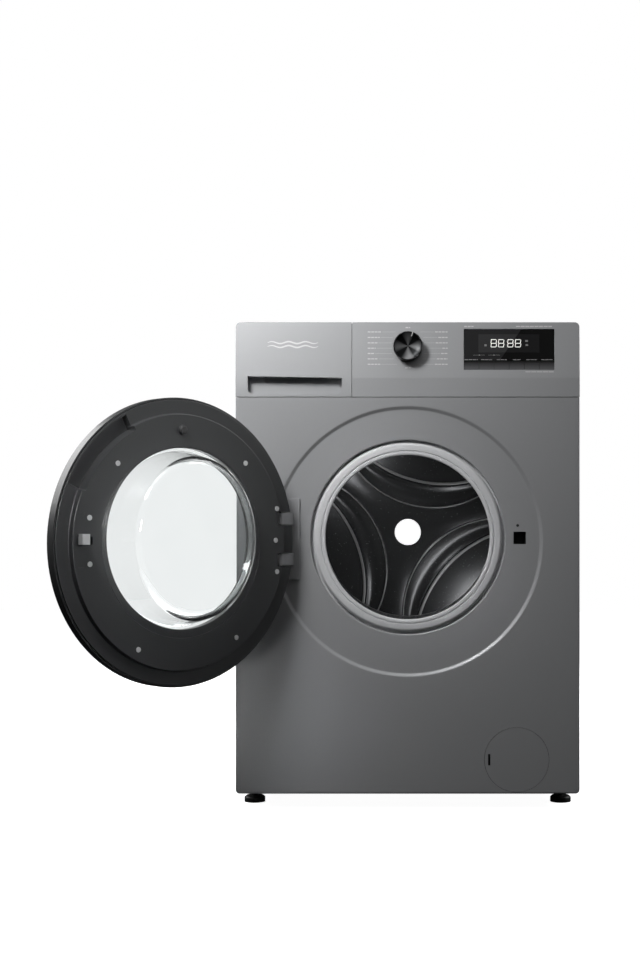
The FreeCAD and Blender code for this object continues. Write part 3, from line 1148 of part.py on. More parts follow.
def hook_cheeks():
    """Return the two bored cheeks that carry the latch hook inside the door."""
    bore = rod("CheekBore", "Z", ("hook_x", "latch_pin_y"), ("lock_z - 20", "lock_z + 20"),
               "2 + running_clearance")
    cheeks = []
    for span in (("lock_z - 17", "lock_z - 12.5"), ("lock_z + 12.5", "lock_z + 17")):
        cheek = block("HookCheek", ("hook_x - 8", "hook_x + 8"),
                      (ahead(15), "front - door_rear_gap - 1"), span)
        cheeks.append(cut("BoredCheek", cheek, bore))
    return cheeks


def make_glass(glass):
    """Bowl of glass whose bottom slants, deeper on the lock side."""
    slant = "atan((glass_deep - glass_shallow) / (2 * glass_radius - 34))"
    middle = "front + (glass_deep + glass_shallow) / 2"

    def bowl(name, inset):
        rim_radius = "glass_radius - %s" % inset
        solid = turned(name, "Y", glass, (
            (0, ahead(21 if inset else 20)), (rim_radius, ahead(21 if inset else 20)),
            (rim_radius, ahead(16)),
            ("%s - glass_taper * 86" % rim_radius, "front + 70"), (0, "front + 70")))
        away = doc.addObject("Part::Box", name + "Away")
        for prop in ("Length", "Width", "Height"):
            setattr(away, prop, 500)
        text = "placement(vector(-250; %s - %s; 200); rotation(vector(0; 0; 1); %s); vector(250; 0; 0))"
        bind(away, "Placement", text % (middle, inset, slant))
        return cut(name + "Slanted", solid, away)

    flange = turned("GlassFlange", "Y", glass, (
        ("glass_radius - glass_wall", ahead(16)), (157, ahead(16)),
        (157, ahead(20)), ("glass_radius - glass_wall", ahead(20))))
    outer = bowl("BowlOuter", 0)
    inner = bowl("BowlInner", "glass_wall")
    node("door_glass", hang(cut("DoorGlass", fuse("GlassBody", outer, flange), inner)))


def make_lock():
    """Door lock behind the front panel, its slot in line with the panel's."""
    body = block("LockBody", ("lock_x - 17", "lock_x + 24"),
                 ("recess_floor + sheet_steel", "front + 36"),
                 ("lock_z - 42", "lock_z + 36"))
    slot = block("LockRoom", ("lock_x - lock_slot / 2", "lock_x + lock_slot / 2"),
                 ("front", "front + 30"),
                 ("lock_z - lock_slot / 2", "lock_z + lock_slot / 2"))
    node("door_lock", cut("DoorLock", body, slot))


def make_feet():
    """Four levelling feet, each with a pad and a threaded stem."""
    for label, (x, y) in zip(FOOT_NAMES, FEET):
        node(label, turned(label, "Z", (x, y), (
            (0, 0), ("foot_radius", 0), ("foot_radius", "foot_height - 3"),
            ("foot_radius - 3", "foot_height"),
            ("foot_stem_radius", "foot_height"), ("foot_stem_radius", "floor_gap + 27"),
            (0, "floor_gap + 27"))))


# Places chosen once and shared by the pieces that meet there.
KEY_COUNT = 6
SCREW_SHANK = 1.9
TONGUE_HALF = 18
GUIDE_THICKNESS = 6
DRAIN_X = 246
DRAIN_RISE_X = 284.5
DRAIN_Z = 640
GLAND_X = 246
GLAND_Z = 730
GLAND_BORE = 4
FILL_AT = (-150, -100)
SUMP_AT = (90, -100)
HEATER_Z = "tub_z - 250.3"
SPRING_Y = 92
SPRING_BAR_Y = (80, 104)
SPRING_TOP = (262, 20)
SPRING_FOOT = (222, 172)
DAMPER_Y = -46
DAMPER_LUGS = (-63, -35)
DAMPER_FOOT = (200, 62)
DAMPER_HEAD = (150, -234)
MOTOR_HANGERS = (36, 152)
LENS_ANGLES = (-42, 78, 198)
ARM_ANGLES = (18, 138, 258)
FOOT_NAMES = ("foot_front_left", "foot_front_right", "foot_rear_left", "foot_rear_right")
FEET = [(side + "foot_x", y) for y in ("front + front_foot_set_back",
                                       "rear - rear_foot_set_back") for side in ("-", "")]
DOOR_SCREWS = ((124.2, 588), (-123.4, 595.2), (174.7, 503.7), (174.1, 432.9), (86.7, 298),
               (-104.3, 307.6),
               (-190, 520.5), (-187.3, 467.3), (-190, 414.5))

make_front_panel()
make_side_panel("side_panel_left", -1)
make_side_panel("side_panel_right", 1)
make_rear()
make_top()
make_base()
make_braces()
make_fascia()
make_drawer()
make_services()
make_tub()
make_springs()
make_dampers()
make_drive()
make_drum()
make_gasket()
make_hinge()
make_door()
make_lock()
make_feet()

doc.recompute()
for thing in doc.Objects:
    if "Invalid" in thing.State or "Error" in thing.State:
        raise RuntimeError("%s did not build: %s" % (thing.Label, thing.State))
for piece in NODES:
    if piece.Shape.isNull() or not piece.Shape.isValid() or not piece.Shape.Solids:
        raise RuntimeError("%s has no valid solid" % piece.Label)
for piece in NODES:
    piece.Shape.exportStep("parts/%s.step" % piece.Label)
print("%d sub-parts" % len(NODES))
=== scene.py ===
"""Looks of the front-loading washing machine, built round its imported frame.

Sizes in the classes are millimetres in the frame's own axes: +X right, +Y to the rear, +Z up.
Meshes are worked out as whole numpy arrays and scaled to metres when they are stored.
"""

from __future__ import annotations

import json
import logging
import math
from dataclasses import dataclass, field
from enum import Enum
from typing import Any, Callable, Sequence

import bmesh
import bpy
import numpy as np
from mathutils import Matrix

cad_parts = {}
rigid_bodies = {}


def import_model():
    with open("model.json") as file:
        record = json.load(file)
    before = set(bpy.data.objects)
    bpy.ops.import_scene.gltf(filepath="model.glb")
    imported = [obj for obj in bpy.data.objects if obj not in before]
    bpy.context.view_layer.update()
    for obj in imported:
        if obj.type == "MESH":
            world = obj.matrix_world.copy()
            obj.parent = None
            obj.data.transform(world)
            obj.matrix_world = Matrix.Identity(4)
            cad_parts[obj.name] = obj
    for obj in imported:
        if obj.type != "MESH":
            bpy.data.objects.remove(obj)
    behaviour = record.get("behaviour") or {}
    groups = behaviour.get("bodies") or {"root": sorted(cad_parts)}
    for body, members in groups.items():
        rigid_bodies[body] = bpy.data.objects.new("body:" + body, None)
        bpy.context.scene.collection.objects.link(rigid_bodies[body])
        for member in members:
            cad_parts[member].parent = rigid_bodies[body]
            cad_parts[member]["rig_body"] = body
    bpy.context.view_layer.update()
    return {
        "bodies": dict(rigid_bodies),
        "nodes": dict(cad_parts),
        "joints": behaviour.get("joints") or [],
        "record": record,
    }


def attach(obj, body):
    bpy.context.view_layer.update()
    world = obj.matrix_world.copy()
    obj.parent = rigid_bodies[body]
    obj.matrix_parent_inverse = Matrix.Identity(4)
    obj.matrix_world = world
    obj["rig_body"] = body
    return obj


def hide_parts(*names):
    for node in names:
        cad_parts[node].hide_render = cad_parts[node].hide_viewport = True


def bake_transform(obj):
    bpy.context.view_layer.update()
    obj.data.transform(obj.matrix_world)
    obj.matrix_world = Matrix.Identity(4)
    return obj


LOG = logging.getLogger("washer")
MM = 0.001
FRONT = -240.0
TURN = 2 * math.pi


# ---------------------------------------------------------------- small helpers


def to_linear(code: str) -> tuple[float, float, float, float]:
    """Turn an sRGB hex colour into a linear colour.

    Args:
        code: The colour, such as "#9a9b9d".

    Returns:
        Linear red, green and blue with an alpha of one.
    """
    channels = [int(code[i : i + 2], 16) / 255 for i in (1, 3, 5)]
    linear = [c / 12.92 if c <= 0.04045 else ((c + 0.055) / 1.055) ** 2.4 for c in channels]
    return linear[0], linear[1], linear[2], 1.0


def add_node(
    tree: bpy.types.NodeTree,
    kind: str,
    settings: dict[str | int, Any] | None = None,
    links: dict[str | int, Any] | None = None,
) -> bpy.types.Node:
    """Add a shader node with its settings and links.

    Args:
        tree: The node tree to add to.
        kind: Blender's name of the node type.
        settings: Attributes of the node, or input sockets, and their values.
        links: Input sockets and the outputs that feed them.

    Returns:
        The new node.
    """
    node = tree.nodes.new(kind)
    for key, value in (settings or {}).items():
        if isinstance(key, str) and hasattr(node, key):
            setattr(node, key, value)
        else:
            node.inputs[key].default_value = value
    for key, source in (links or {}).items():
        tree.links.new(source, node.inputs[key])
    return node


def smooth_step(values: np.ndarray, low: float, high: float) -> np.ndarray:
    """Rise from 0 at low to 1 at high with level ends: three t squared less two t cubed."""
    t = np.clip((values - low) / (high - low), 0, 1)
    return t * t * (3 - 2 * t)


def store(name: str, points: np.ndarray, faces: np.ndarray, sharp_degrees: float = 40) -> bpy.types.Object:
    """Store points and faces as a smooth mesh with its doubles merged and its faces outwards.

    Args:
        name: Name of the new object.
        points: Places in millimetres, one row each.
        faces: Corner numbers of the faces, one row each.
        sharp_degrees: Edges that turn more than this stay sharp.

    Returns:
        The new object, at the origin.
    """
    mesh = bpy.data.meshes.new(name)
    mesh.from_pydata((points.reshape(-1, 3) * MM).tolist(), [], faces.tolist())
    work = bmesh.new()
    work.from_mesh(mesh)
    bmesh.ops.remove_doubles(work, verts=work.verts, dist=1e-6)
    bmesh.ops.dissolve_degenerate(work, edges=work.edges, dist=1e-7)
    if work.calc_volume(signed=True) < 0:
        bmesh.ops.reverse_faces(work, faces=work.faces)
    work.to_mesh(mesh)
    work.free()
    mesh.shade_smooth()
    mesh.set_sharp_from_angle(angle=math.radians(sharp_degrees))
    thing = bpy.data.objects.new(name, mesh)
    bpy.context.scene.collection.objects.link(thing)
    return thing


def surface(
    name: str,
    points: np.ndarray,
    wrap_rows: bool = True,
    wrap_columns: bool = True,
    sharp_degrees: float = 40,
) -> bpy.types.Object:
    """Make a surface from a grid of points.

    Args:
        name: Name of the new object.
        points: The grid, rows by columns by three, in millimetres.
        wrap_rows: The last row joins the first.
        wrap_columns: The last column joins the first.
        sharp_degrees: Edges that turn more than this stay sharp.

    Returns:
        The new object.
    """
    rows, columns = points.shape[:2]
    row = np.arange(rows if wrap_rows else rows - 1)[:, None]
    column = np.arange(columns if wrap_columns else columns - 1)[None, :]
    next_row = (row + 1) % rows
    next_column = (column + 1) % columns
    quads = np.stack(
        (
            row * columns + column,
            row * columns + next_column,
            next_row * columns + next_column,
            next_row * columns + column,
        ),
        axis=-1,
    )
    return store(name, points, quads.reshape(-1, 4), sharp_degrees)


def revolve(
    name: str, profile: Sequence[tuple[float, float]], centre: tuple[float, float], steps: int = 192
) -> np.ndarray:
    """Carry a closed profile round a fore-and-aft axis.

    The place is centre plus radius times (cosine, sine) of the turn, at the profile's depth.

    Args:
        name: What is being turned, for the log.
        profile: Radius and Y of each corner, round the section.
        centre: X and Z of the axis.
        steps: Columns round the axis.

    Returns:
        The grid of points.
    """
    LOG.debug("turning %s", name)
    section = np.array(profile, float)
    turn = np.linspace(0, TURN, steps, endpoint=False)
    radius = section[:, 0][:, None]
    depth = np.broadcast_to(section[:, 1][:, None], (len(section), steps))
    return np.stack((centre[0] + radius * np.cos(turn), depth, centre[1] + radius * np.sin(turn)), axis=-1)


def soften(
    corners: Sequence[tuple[float, float]], radius: float, steps: int = 4, closed: bool = True
) -> np.ndarray:
    """Round the corners of an outline and hold each flat with a point beside the round.

    Each corner becomes a quadratic curve between points a radius away on both its sides.

    Args:
        corners: The outline's corners.
        radius: How far the round reaches along each side, cut down to a third of a short side.
        steps: Points on each round.
        closed: The outline's ends join.

    Returns:
        The rounded outline, one row for each point.
    """
    outline = np.array(corners, float)
    before = np.roll(outline, 1, axis=0) - outline
    after = np.roll(outline, -1, axis=0) - outline
    length_before = np.linalg.norm(before, axis=1, keepdims=True)
    length_after = np.linalg.norm(after, axis=1, keepdims=True)
    reach = np.minimum(radius, np.minimum(length_before, length_after) / 3)
    start = outline + before / length_before * reach
    end = outline + after / length_after * reach
    hold_start = outline + before / length_before * reach * 1.4
    hold_end = outline + after / length_after * reach * 1.4
    t = np.linspace(0, 1, steps)[None, :, None]
    curve = (1 - t) ** 2 * start[:, None] + 2 * t * (1 - t) * outline[:, None] + t**2 * end[:, None]
    rounded = np.concatenate((hold_start[:, None], curve, hold_end[:, None]), axis=1)
    if not closed:
        middle = rounded[1:-1].reshape(-1, 2)
        return np.concatenate((outline[:1], middle, outline[-1:]))
    return rounded.reshape(-1, 2)


def slabs(name: str, low: np.ndarray, high: np.ndarray, slant: float = 0.0) -> bpy.types.Object:
    """Make many small blocks in one mesh, from their lowest and highest corners.

    A corner's place is low plus its own 0-or-1 pattern times (high less low), with X moved by slant times
    its height in the block.

    Args:
        name: Name of the new object.
        low: Lowest corners, one row each, in millimetres.
        high: Highest corners.
        slant: How far X moves for each millimetre of height.

    Returns:
        The new object.
    """
    pattern = np.array([[i & 1, i >> 1 & 1, i >> 2 & 1] for i in range(8)], float)
    corners = low[:, None, :] + pattern[None] * (high - low)[:, None, :]
    corners[..., 0] += slant * (corners[..., 2] - low[:, None, 2])
    sides = np.array([[0, 2, 3, 1], [4, 5, 7, 6], [0, 1, 5, 4], [2, 6, 7, 3], [0, 4, 6, 2], [1, 3, 7, 5]])
    faces = sides[None] + 8 * np.arange(len(low))[:, None, None]
    return store(name, corners, faces.reshape(-1, 4), 30)


def lean(height: np.ndarray | float) -> np.ndarray | float:
    """Return the Y of the control strip's face at a height: upright, then leaning back above its crease."""
    return FRONT + 5.5 * np.clip((np.asarray(height) - 748.0) / 97.0, 0, 1)


def move_points(thing: bpy.types.Object, rule: Callable[[np.ndarray], np.ndarray]) -> None:
    """Move a mesh's points by a rule from old places to new, in millimetres.

    Args:
        thing: The piece.
        rule: Takes the places, one row each, and returns the new ones.
    """
    spots = np.empty(len(thing.data.vertices) * 3, np.float32)
    thing.data.vertices.foreach_get("co", spots)
    moved = rule(spots.reshape(-1, 3).astype(float) / MM) * MM
    thing.data.vertices.foreach_set("co", moved.ravel())
    thing.data.update()


def evaluated(thing: bpy.types.Object) -> None:
    """Make a piece's modifiers part of its mesh."""
    bpy.context.view_layer.update()
    graph = bpy.context.evaluated_depsgraph_get()
    mesh = bpy.data.meshes.new_from_object(thing.evaluated_get(graph))
    thing.modifiers.clear()
    thing.data = mesh


def carve(thing: bpy.types.Object, *cutters: bpy.types.Object) -> bpy.types.Object:
    """Cut closed bodies out of a piece, and throw the bodies away.

    Args:
        thing: The piece.
        cutters: Closed bodies.

    Returns:
        The piece.
    """
    for cutter in cutters:
        modifier = thing.modifiers.new("Carve", "BOOLEAN")
        modifier.operation = "DIFFERENCE"
        modifier.solver = "EXACT"
        modifier.object = cutter
        evaluated(thing)
        bpy.data.objects.remove(cutter)
    thing.data.shade_smooth()
    thing.data.set_sharp_from_angle(angle=math.radians(40))
    return thing


def cap_ends(thing: bpy.types.Object) -> None:
    """Close the open ends of a strip-shaped piece and turn its faces outwards."""
    work = bmesh.new()
    work.from_mesh(thing.data)
    bmesh.ops.holes_fill(work, edges=work.edges, sides=0)
    bmesh.ops.recalc_face_normals(work, faces=work.faces)
    work.to_mesh(thing.data)
    work.free()


def block(
    name: str, x: tuple[float, float], y: tuple[float, float], z: tuple[float, float]
) -> bpy.types.Object:
    """Make one plain block, used as a cutter."""
    return slabs(name, np.array([[x[0], y[0], z[0]]]), np.array([[x[1], y[1], z[1]]]))


# ---------------------------------------------------------------- finishes


@dataclass(frozen=True)
class Finish:
    """A finish whose colour, gloss and relief all follow one fine mottle.

    The mottle is noise on Object coordinates. Its grain is a real size in millimetres, and stretch
    above one draws it out along an axis, as brushing does.
    """

    name: str
    light: str
    dark: str
    roughness: float
    metallic: float = 0.0
    grain_mm: float = 2.0
    relief_mm: float = 0.02
    roughness_swing: float = 0.06
    stretch: tuple[float, float, float] = (1.0, 1.0, 1.0)
    coat: float = 0.0
    ior: float = 1.5
    emission: float = 0.0

    def build(self) -> bpy.types.Material:
        """Make the material.

        Returns:
            The material, ready to assign.
        """
        material = bpy.data.materials.new(self.name)
        material.use_nodes = True
        tree = material.node_tree
        tree.nodes.clear()
        place = add_node(tree, "ShaderNodeTexCoord").outputs["Object"]
        scale = tuple(1 / s for s in self.stretch)
        drawn = add_node(tree, "ShaderNodeMapping", {"Scale": scale}, {"Vector": place})
        noise = add_node(
            tree,
            "ShaderNodeTexNoise",
            {"Scale": 1 / (self.grain_mm * MM), "Detail": 4.0, "Roughness": 0.6},
            {"Vector": drawn.outputs[0]},
        )
        shader = add_node(tree, "ShaderNodeBsdfPrincipled")
        self.dress(tree, shader, place, noise.outputs["Fac"])
        add_node(tree, "ShaderNodeOutputMaterial", None, {"Surface": shader.outputs[0]})
        return material

    def dress(
        self,
        tree: bpy.types.NodeTree,
        shader: bpy.types.Node,
        place: bpy.types.NodeSocket,
        mottle: bpy.types.NodeSocket,
    ) -> None:
        """Give the shader its colour, gloss and relief.

        Args:
            tree: The material's nodes.
            shader: The principled shader.
            place: Object coordinates.
            mottle: The fine noise.
        """
        self.constants(shader)
        tone = add_node(
            tree,
            "ShaderNodeMix",
            {"data_type": "RGBA", 6: to_linear(self.dark), 7: to_linear(self.light)},
            {0: self.patterned(tree, place, mottle)},
        )
        tree.links.new(tone.outputs[2], shader.inputs["Base Color"])
        gloss = add_node(
            tree,
            "ShaderNodeMapRange",
            {
                "To Min": self.roughness - self.roughness_swing,
                "To Max": self.roughness + self.roughness_swing,
            },
            {"Value": mottle},
        )
        tree.links.new(gloss.outputs[0], shader.inputs["Roughness"])
        relief = add_node(
            tree, "ShaderNodeBump", {"Strength": 0.6, "Distance": self.relief_mm * MM}, {
                "Height": self.raised(tree, place, mottle)
            }
        )
        tree.links.new(relief.outputs[0], shader.inputs["Normal"])
        if self.emission:
            tree.links.new(tone.outputs[2], shader.inputs["Emission Color"])

    def constants(self, shader: bpy.types.Node) -> None:
        """Set the values that are the same all over."""
        shader.inputs["Metallic"].default_value = self.metallic
        shader.inputs["Coat Weight"].default_value = self.coat
        shader.inputs["Emission Strength"].default_value = self.emission
        if not self.metallic:
            shader.inputs["IOR"].default_value = self.ior

    def patterned(
        self, tree: bpy.types.NodeTree, place: bpy.types.NodeSocket, mottle: bpy.types.NodeSocket
    ) -> bpy.types.NodeSocket:
        """Return what mixes the dark tone into the light one; the plain mottle here."""
        return mottle

    def raised(
        self, tree: bpy.types.NodeTree, place: bpy.types.NodeSocket, mottle: bpy.types.NodeSocket
    ) -> bpy.types.NodeSocket:
        """Return the height that the relief follows; the plain mottle here."""
        return mottle


@dataclass(frozen=True)
class SpangledZinc(Finish):
    """Hot-dip galvanised sheet: flat crystals, each with its own grey, 12 mm across."""

    def patterned(
        self, tree: bpy.types.NodeTree, place: bpy.types.NodeSocket, mottle: bpy.types.NodeSocket
    ) -> bpy.types.NodeSocket:
        """Return one grey for each crystal: the cell's own random value."""
        cells = add_node(tree, "ShaderNodeTexVoronoi", {"Scale": 1 / (12 * MM)}, {"Vector": place})
        split = add_node(tree, "ShaderNodeSeparateColor", None, {0: cells.outputs["Color"]})
        return split.outputs[0]


@dataclass(frozen=True)
class PerforatedSteel(Finish):
    """Rolled drum sheet with rows of punched holes.

    Round the drum the place is angle times radius, along it Y. Each cell of the pitch holds one hole,
    and alternate rows are moved by half a pitch.
    """

    pitch_mm: float = 15.0
    hole_mm: float = 3.2
    drum_radius: float = 240.0
    axis_z: float = 480.0

    def holes(self, tree: bpy.types.NodeTree, place: bpy.types.NodeSocket) -> bpy.types.NodeSocket:
        """Return 1 on the sheet and 0 in a hole.

        Args:
            tree: The material's nodes.
            place: Object coordinates.

        Returns:
            The socket with the mask.
        """
        axes = add_node(tree, "ShaderNodeSeparateXYZ", None, {0: place}).outputs
        rise = add_node(tree, "ShaderNodeMath", {"operation": "SUBTRACT", 1: self.axis_z * MM}, {0: axes[2]})
        angle = add_node(tree, "ShaderNodeMath", {"operation": "ARCTAN2"}, {0: rise.outputs[0], 1: axes[0]})
        along = add_node(
            tree, "ShaderNodeMath", {"operation": "MULTIPLY", 1: self.drum_radius / self.pitch_mm}, {
                0: angle.outputs[0]
            }
        )
        row = add_node(tree, "ShaderNodeMath", {"operation": "DIVIDE", 1: self.pitch_mm * MM}, {0: axes[1]})
        number = add_node(tree, "ShaderNodeMath", {"operation": "FLOOR"}, {0: row.outputs[0]})
        moved = add_node(
            tree,
            "ShaderNodeMath",
            {"operation": "MULTIPLY_ADD", 1: 0.5},
            {0: number.outputs[0], 2: along.outputs[0]},
        )
        cell = add_node(tree, "ShaderNodeCombineXYZ", None, {0: moved.outputs[0], 1: row.outputs[0]})
        inside = add_node(tree, "ShaderNodeVectorMath", {"operation": "FRACTION"}, {0: cell.outputs[0]})
        away = add_node(
            tree,
            "ShaderNodeVectorMath",
            {"operation": "DISTANCE", 1: (0.5, 0.5, 0.0)},
            {0: inside.outputs[0]},
        )
        half = self.hole_mm / self.pitch_mm / 2
        mask = add_node(
            tree,
            "ShaderNodeMapRange",
            {"From Min": half * 0.8, "From Max": half * 1.2},
            {"Value": away.outputs["Value"]},
        )
        return mask.outputs[0]

    def patterned(
        self, tree: bpy.types.NodeTree, place: bpy.types.NodeSocket, mottle: bpy.types.NodeSocket
    ) -> bpy.types.NodeSocket:
        """Return the mottle, dark in the holes: the mottle times the mask."""
        mask = self.holes(tree, place)
        return add_node(tree, "ShaderNodeMath", {"operation": "MULTIPLY"}, {0: mask, 1: mottle}).outputs[0]

    def raised(
        self, tree: bpy.types.NodeTree, place: bpy.types.NodeSocket, mottle: bpy.types.NodeSocket
    ) -> bpy.types.NodeSocket:
        """Return the sheet's height, low in the holes."""
        return self.holes(tree, place)


@dataclass(frozen=True)
class BladedGradient(Finish):
    """A finish that grows lighter across the piece between two places along a slanted line, used for painted
    reflection and sheen.

    The mix is X times the first weight plus Z times the second, spread between the two levels in metres.
    """

    weights: tuple[float, float] = (1.0, 0.0)
    levels: tuple[float, float] = (0.0, 1.0)

    def patterned(
        self, tree: bpy.types.NodeTree, place: bpy.types.NodeSocket, mottle: bpy.types.NodeSocket
    ) -> bpy.types.NodeSocket:
        """Return the spread of the weighted sum between its two levels."""
        direction = (self.weights[0], 0.0, self.weights[1])
        amount = add_node(
            tree, "ShaderNodeVectorMath", {"operation": "DOT_PRODUCT", 1: direction}, {0: place}
        )
        spread = add_node(
            tree,
            "ShaderNodeMapRange",
            {"From Min": self.levels[0], "From Max": self.levels[1]},
            {"Value": amount.outputs["Value"]},
        )
        return spread.outputs[0]


@dataclass(frozen=True)
class SpunMetalPaintedSheen(Finish):
    """Turned metal face with painted sheen: wedges of light and dark round a centre stand in for the
    highlights of its circular brushing.

    The wedges are the cosine of the angle times a number of wedges.
    """

    centre: tuple[float, float] = (0.0, 0.0)
    wedges: float = 4.0
    turn: float = 0.0

    def patterned(
        self, tree: bpy.types.NodeTree, place: bpy.types.NodeSocket, mottle: bpy.types.NodeSocket
    ) -> bpy.types.NodeSocket:
        """Return the painted highlight wedges, half of one plus the cosine."""
        axes = add_node(tree, "ShaderNodeSeparateXYZ", None, {0: place}).outputs
        across = add_node(
            tree, "ShaderNodeMath", {"operation": "SUBTRACT", 1: self.centre[0] * MM}, {0: axes[0]}
        )
        rise = add_node(
            tree, "ShaderNodeMath", {"operation": "SUBTRACT", 1: self.centre[1] * MM}, {0: axes[2]}
        )
        angle = add_node(
            tree, "ShaderNodeMath", {"operation": "ARCTAN2"}, {0: rise.outputs[0], 1: across.outputs[0]}
        )
        phase = add_node(
            tree, "ShaderNodeMath", {"operation": "MULTIPLY_ADD", 1: self.wedges, 2: self.turn}, {
                0: angle.outputs[0]
            }
        )
        wave = add_node(tree, "ShaderNodeMath", {"operation": "COSINE"}, {0: phase.outputs[0]})
        lit = add_node(
            tree, "ShaderNodeMapRange", {"From Min": -0.6, "From Max": 1.0}, {"Value": wave.outputs[0]}
        )
        return lit.outputs[0]


@dataclass(frozen=True)
class ClearGlass(Finish):
    """Pressed soda-lime glass: clear, very faintly grey, with the soft waves of its mould."""

    def constants(self, shader: bpy.types.Node) -> None:
        """Set the values that are the same all over, with light let through."""
        super().constants(shader)
        shader.inputs["Transmission Weight"].default_value = 1.0


class Dress(Enum):
    """The finishes, each for a slot of the record or for one printed or lit mark."""

    # Silver metallic lacquer on sheet steel: fine flakes, semi-gloss.
    PAINT = Finish("metallic_lacquer", "#a2a3a5", "#98999b", 0.42, 0.25, 0.9, 0.006, 0.03, coat=0.1)
    # The same lacquer on moulded ABS: a little lighter.
    STRIP = Finish("lacquered_abs", "#a7a8aa", "#9fa0a2", 0.42, 0.25, 0.9, 0.006, 0.03, coat=0.1)
    # Melamine-faced board with a fine pearl texture.
    TOP = Finish("melamine_board", "#97989a", "#8a8b8d", 0.5, 0.1, 1.4, 0.05, 0.05)
    # Galvanised sheet steel.
    ZINC = SpangledZinc("galvanised_sheet", "#b4b7b9", "#9a9da0", 0.42, 0.85, 5.0, 0.01, 0.08)
    # Glass-filled polypropylene, spark-eroded mould.
    BASE = Finish("black_polypropylene", "#3b3c3e", "#323335", 0.55, 0.0, 1.2, 0.05, 0.06)
    # Glass-epoxy board under green solder mask.
    CIRCUIT = Finish("circuit_laminate", "#2f5b38", "#254a2e", 0.4, 0.0, 6.0, 0.03, 0.08)
    # Moulded EPDM rubber, matt, light grey, with a bloom.
    GASKET = Finish("grey_epdm", "#c6c7c9", "#bcbdbf", 0.55, 0.0, 1.5, 0.03, 0.05)
    WHITE = Finish("white_polypropylene", "#dcdcda", "#cfcfcd", 0.42, 0.0, 1.5, 0.03, 0.05)
    TUB = Finish("filled_polypropylene", "#b9b9b5", "#a8a8a4", 0.5, 0.0, 3.0, 0.05, 0.06)
    DARK = Finish("dark_polyamide", "#303133", "#272829", 0.45, 0.0, 1.2, 0.04, 0.05)
    HOSE = Finish("black_epdm", "#2a2a2b", "#212122", 0.6, 0.0, 2.0, 0.05, 0.05)
    CONCRETE = Finish("cast_concrete", "#9d9a94", "#7b7872", 0.85, 0.0, 7.0, 0.6, 0.08)
    BEARING = Finish("ground_bearing_steel", "#b9babb", "#a3a4a5", 0.25, 1.0, 0.8, 0.004, 0.05)
    MOTOR = Finish("stamped_motor_steel", "#8d8f92", "#7a7c7f", 0.4, 0.9, 3.0, 0.02, 0.08)
    HEATER = Finish("nickel_heater_tube", "#8f8f90", "#77787a", 0.32, 1.0, 2.0, 0.01, 0.06)
    DRUM = PerforatedSteel("punched_stainless", "#a8a9aa", "#17181a", 0.3, 0.95, 3.0, 0.4, 0.05)
    STAR = Finish("pressed_stainless", "#707173", "#646567", 0.26, 0.7, 4.0, 0.01, 0.04)
    # Pressed bead in a lighter grey than the star's steel: a painted highlight that shows as a thin bright
    # line.
    BEAD = Finish("drawn_bead_painted_highlight", "#c4c5c6", "#b4b5b6", 0.3, 0.4, 4.0, 0.01, 0.05)
    # Bright-plated pan-head screws and hook.
    SCREW = Finish("bright_screw", "#c9cacb", "#b8b9ba", 0.35, 0.3, 1.0, 0.01, 0.05)
    CAST = Finish("cast_aluminium", "#a9aaab", "#949596", 0.5, 0.9, 2.5, 0.15, 0.08)
    # Dark grey ABS of the door, fine satin.
    DOOR = Finish("dark_grey_abs", "#3a3b3c", "#343536", 0.36, 0.0, 1.0, 0.02, 0.04, coat=0.1)
    GLASS = ClearGlass("pressed_glass", "#f4f7f7", "#eef2f2", 0.03, 0.0, 60.0, 0.02, 0.01, ior=1.5)
    LATCH = Finish("zinc_latch", "#c3c4c5", "#adaeaf", 0.28, 1.0, 1.0, 0.01, 0.05)
    # Knob face: dark metal with painted sheen, wedges of light round its centre.
    KNOB = SpunMetalPaintedSheen(
        "spun_knob_face_painted_sheen", "#7c7d7e", "#161718", 0.34, 0.85, 0.7, 0.008, 0.05, centre=(0.5, 801.9)
    )
    KNOB_RIM = Finish("dark_knob_rim", "#2b2c2d", "#222324", 0.3, 0.6, 1.0, 0.01, 0.05)
    FOOT = Finish("black_foot_rubber", "#2c2d2e", "#222323", 0.5, 0.0, 1.2, 0.04, 0.06)
    # Smoked pane: black glass with a painted reflection, a fade of grey across its left part along a slanted
    # line.
    PANE = BladedGradient(
        "smoked_pane_painted_reflection", "#000000", "#242425", 0.1, 0.0, 8.0, 0.002, 0.02,
        ior=1.3, weights=(1.0, -0.694), levels=(-0.3815, -0.3800),
    )
    # The field inside the pane: the same painted reflection, lighter on the left.
    PANE_INNER = BladedGradient(
        "pane_inner_field_painted_reflection", "#161617", "#343435", 0.12, 0.0, 8.0, 0.002, 0.02,
        ior=1.3, weights=(1.0, -0.694), levels=(-0.3815, -0.3800),
    )
    # Key film: grey at the foot fading to black towards the top, a painted sheen.
    KEYS = BladedGradient(
        "key_film_painted_sheen", "#060606", "#5c5c5e", 0.25, 0.0, 2.0, 0.004, 0.03,
        weights=(0.0, 1.0), levels=(0.7625, 0.776),
    )
    LIT = Finish("lit_digits", "#f2f2ee", "#e4e4e0", 0.5, 0.0, 2.0, 0.001, 0.01, emission=0.6)
    PRINT = Finish("white_print", "#d9d9d9", "#c9c9c9", 0.5, 0.0, 1.0, 0.002, 0.02)
    FAINT = Finish("grey_print", "#8a8a8a", "#7c7c7c", 0.5, 0.0, 1.0, 0.002, 0.02)
    # White cap that glows by emission, though it is no lamp: painted light.
    CAP = Finish("cap_painted_glow", "#ffffff", "#fafafa", 0.4, 0.0, 3.0, 0.002, 0.02, emission=0.9)
    HINGE = Finish("coated_hinge_steel", "#b4b5b7", "#a6a7a9", 0.38, 0.35, 1.5, 0.01, 0.05)
    CHROME = Finish("bright_hinge_steel", "#c9cacb", "#b2b3b4", 0.22, 1.0, 1.2, 0.01, 0.05)


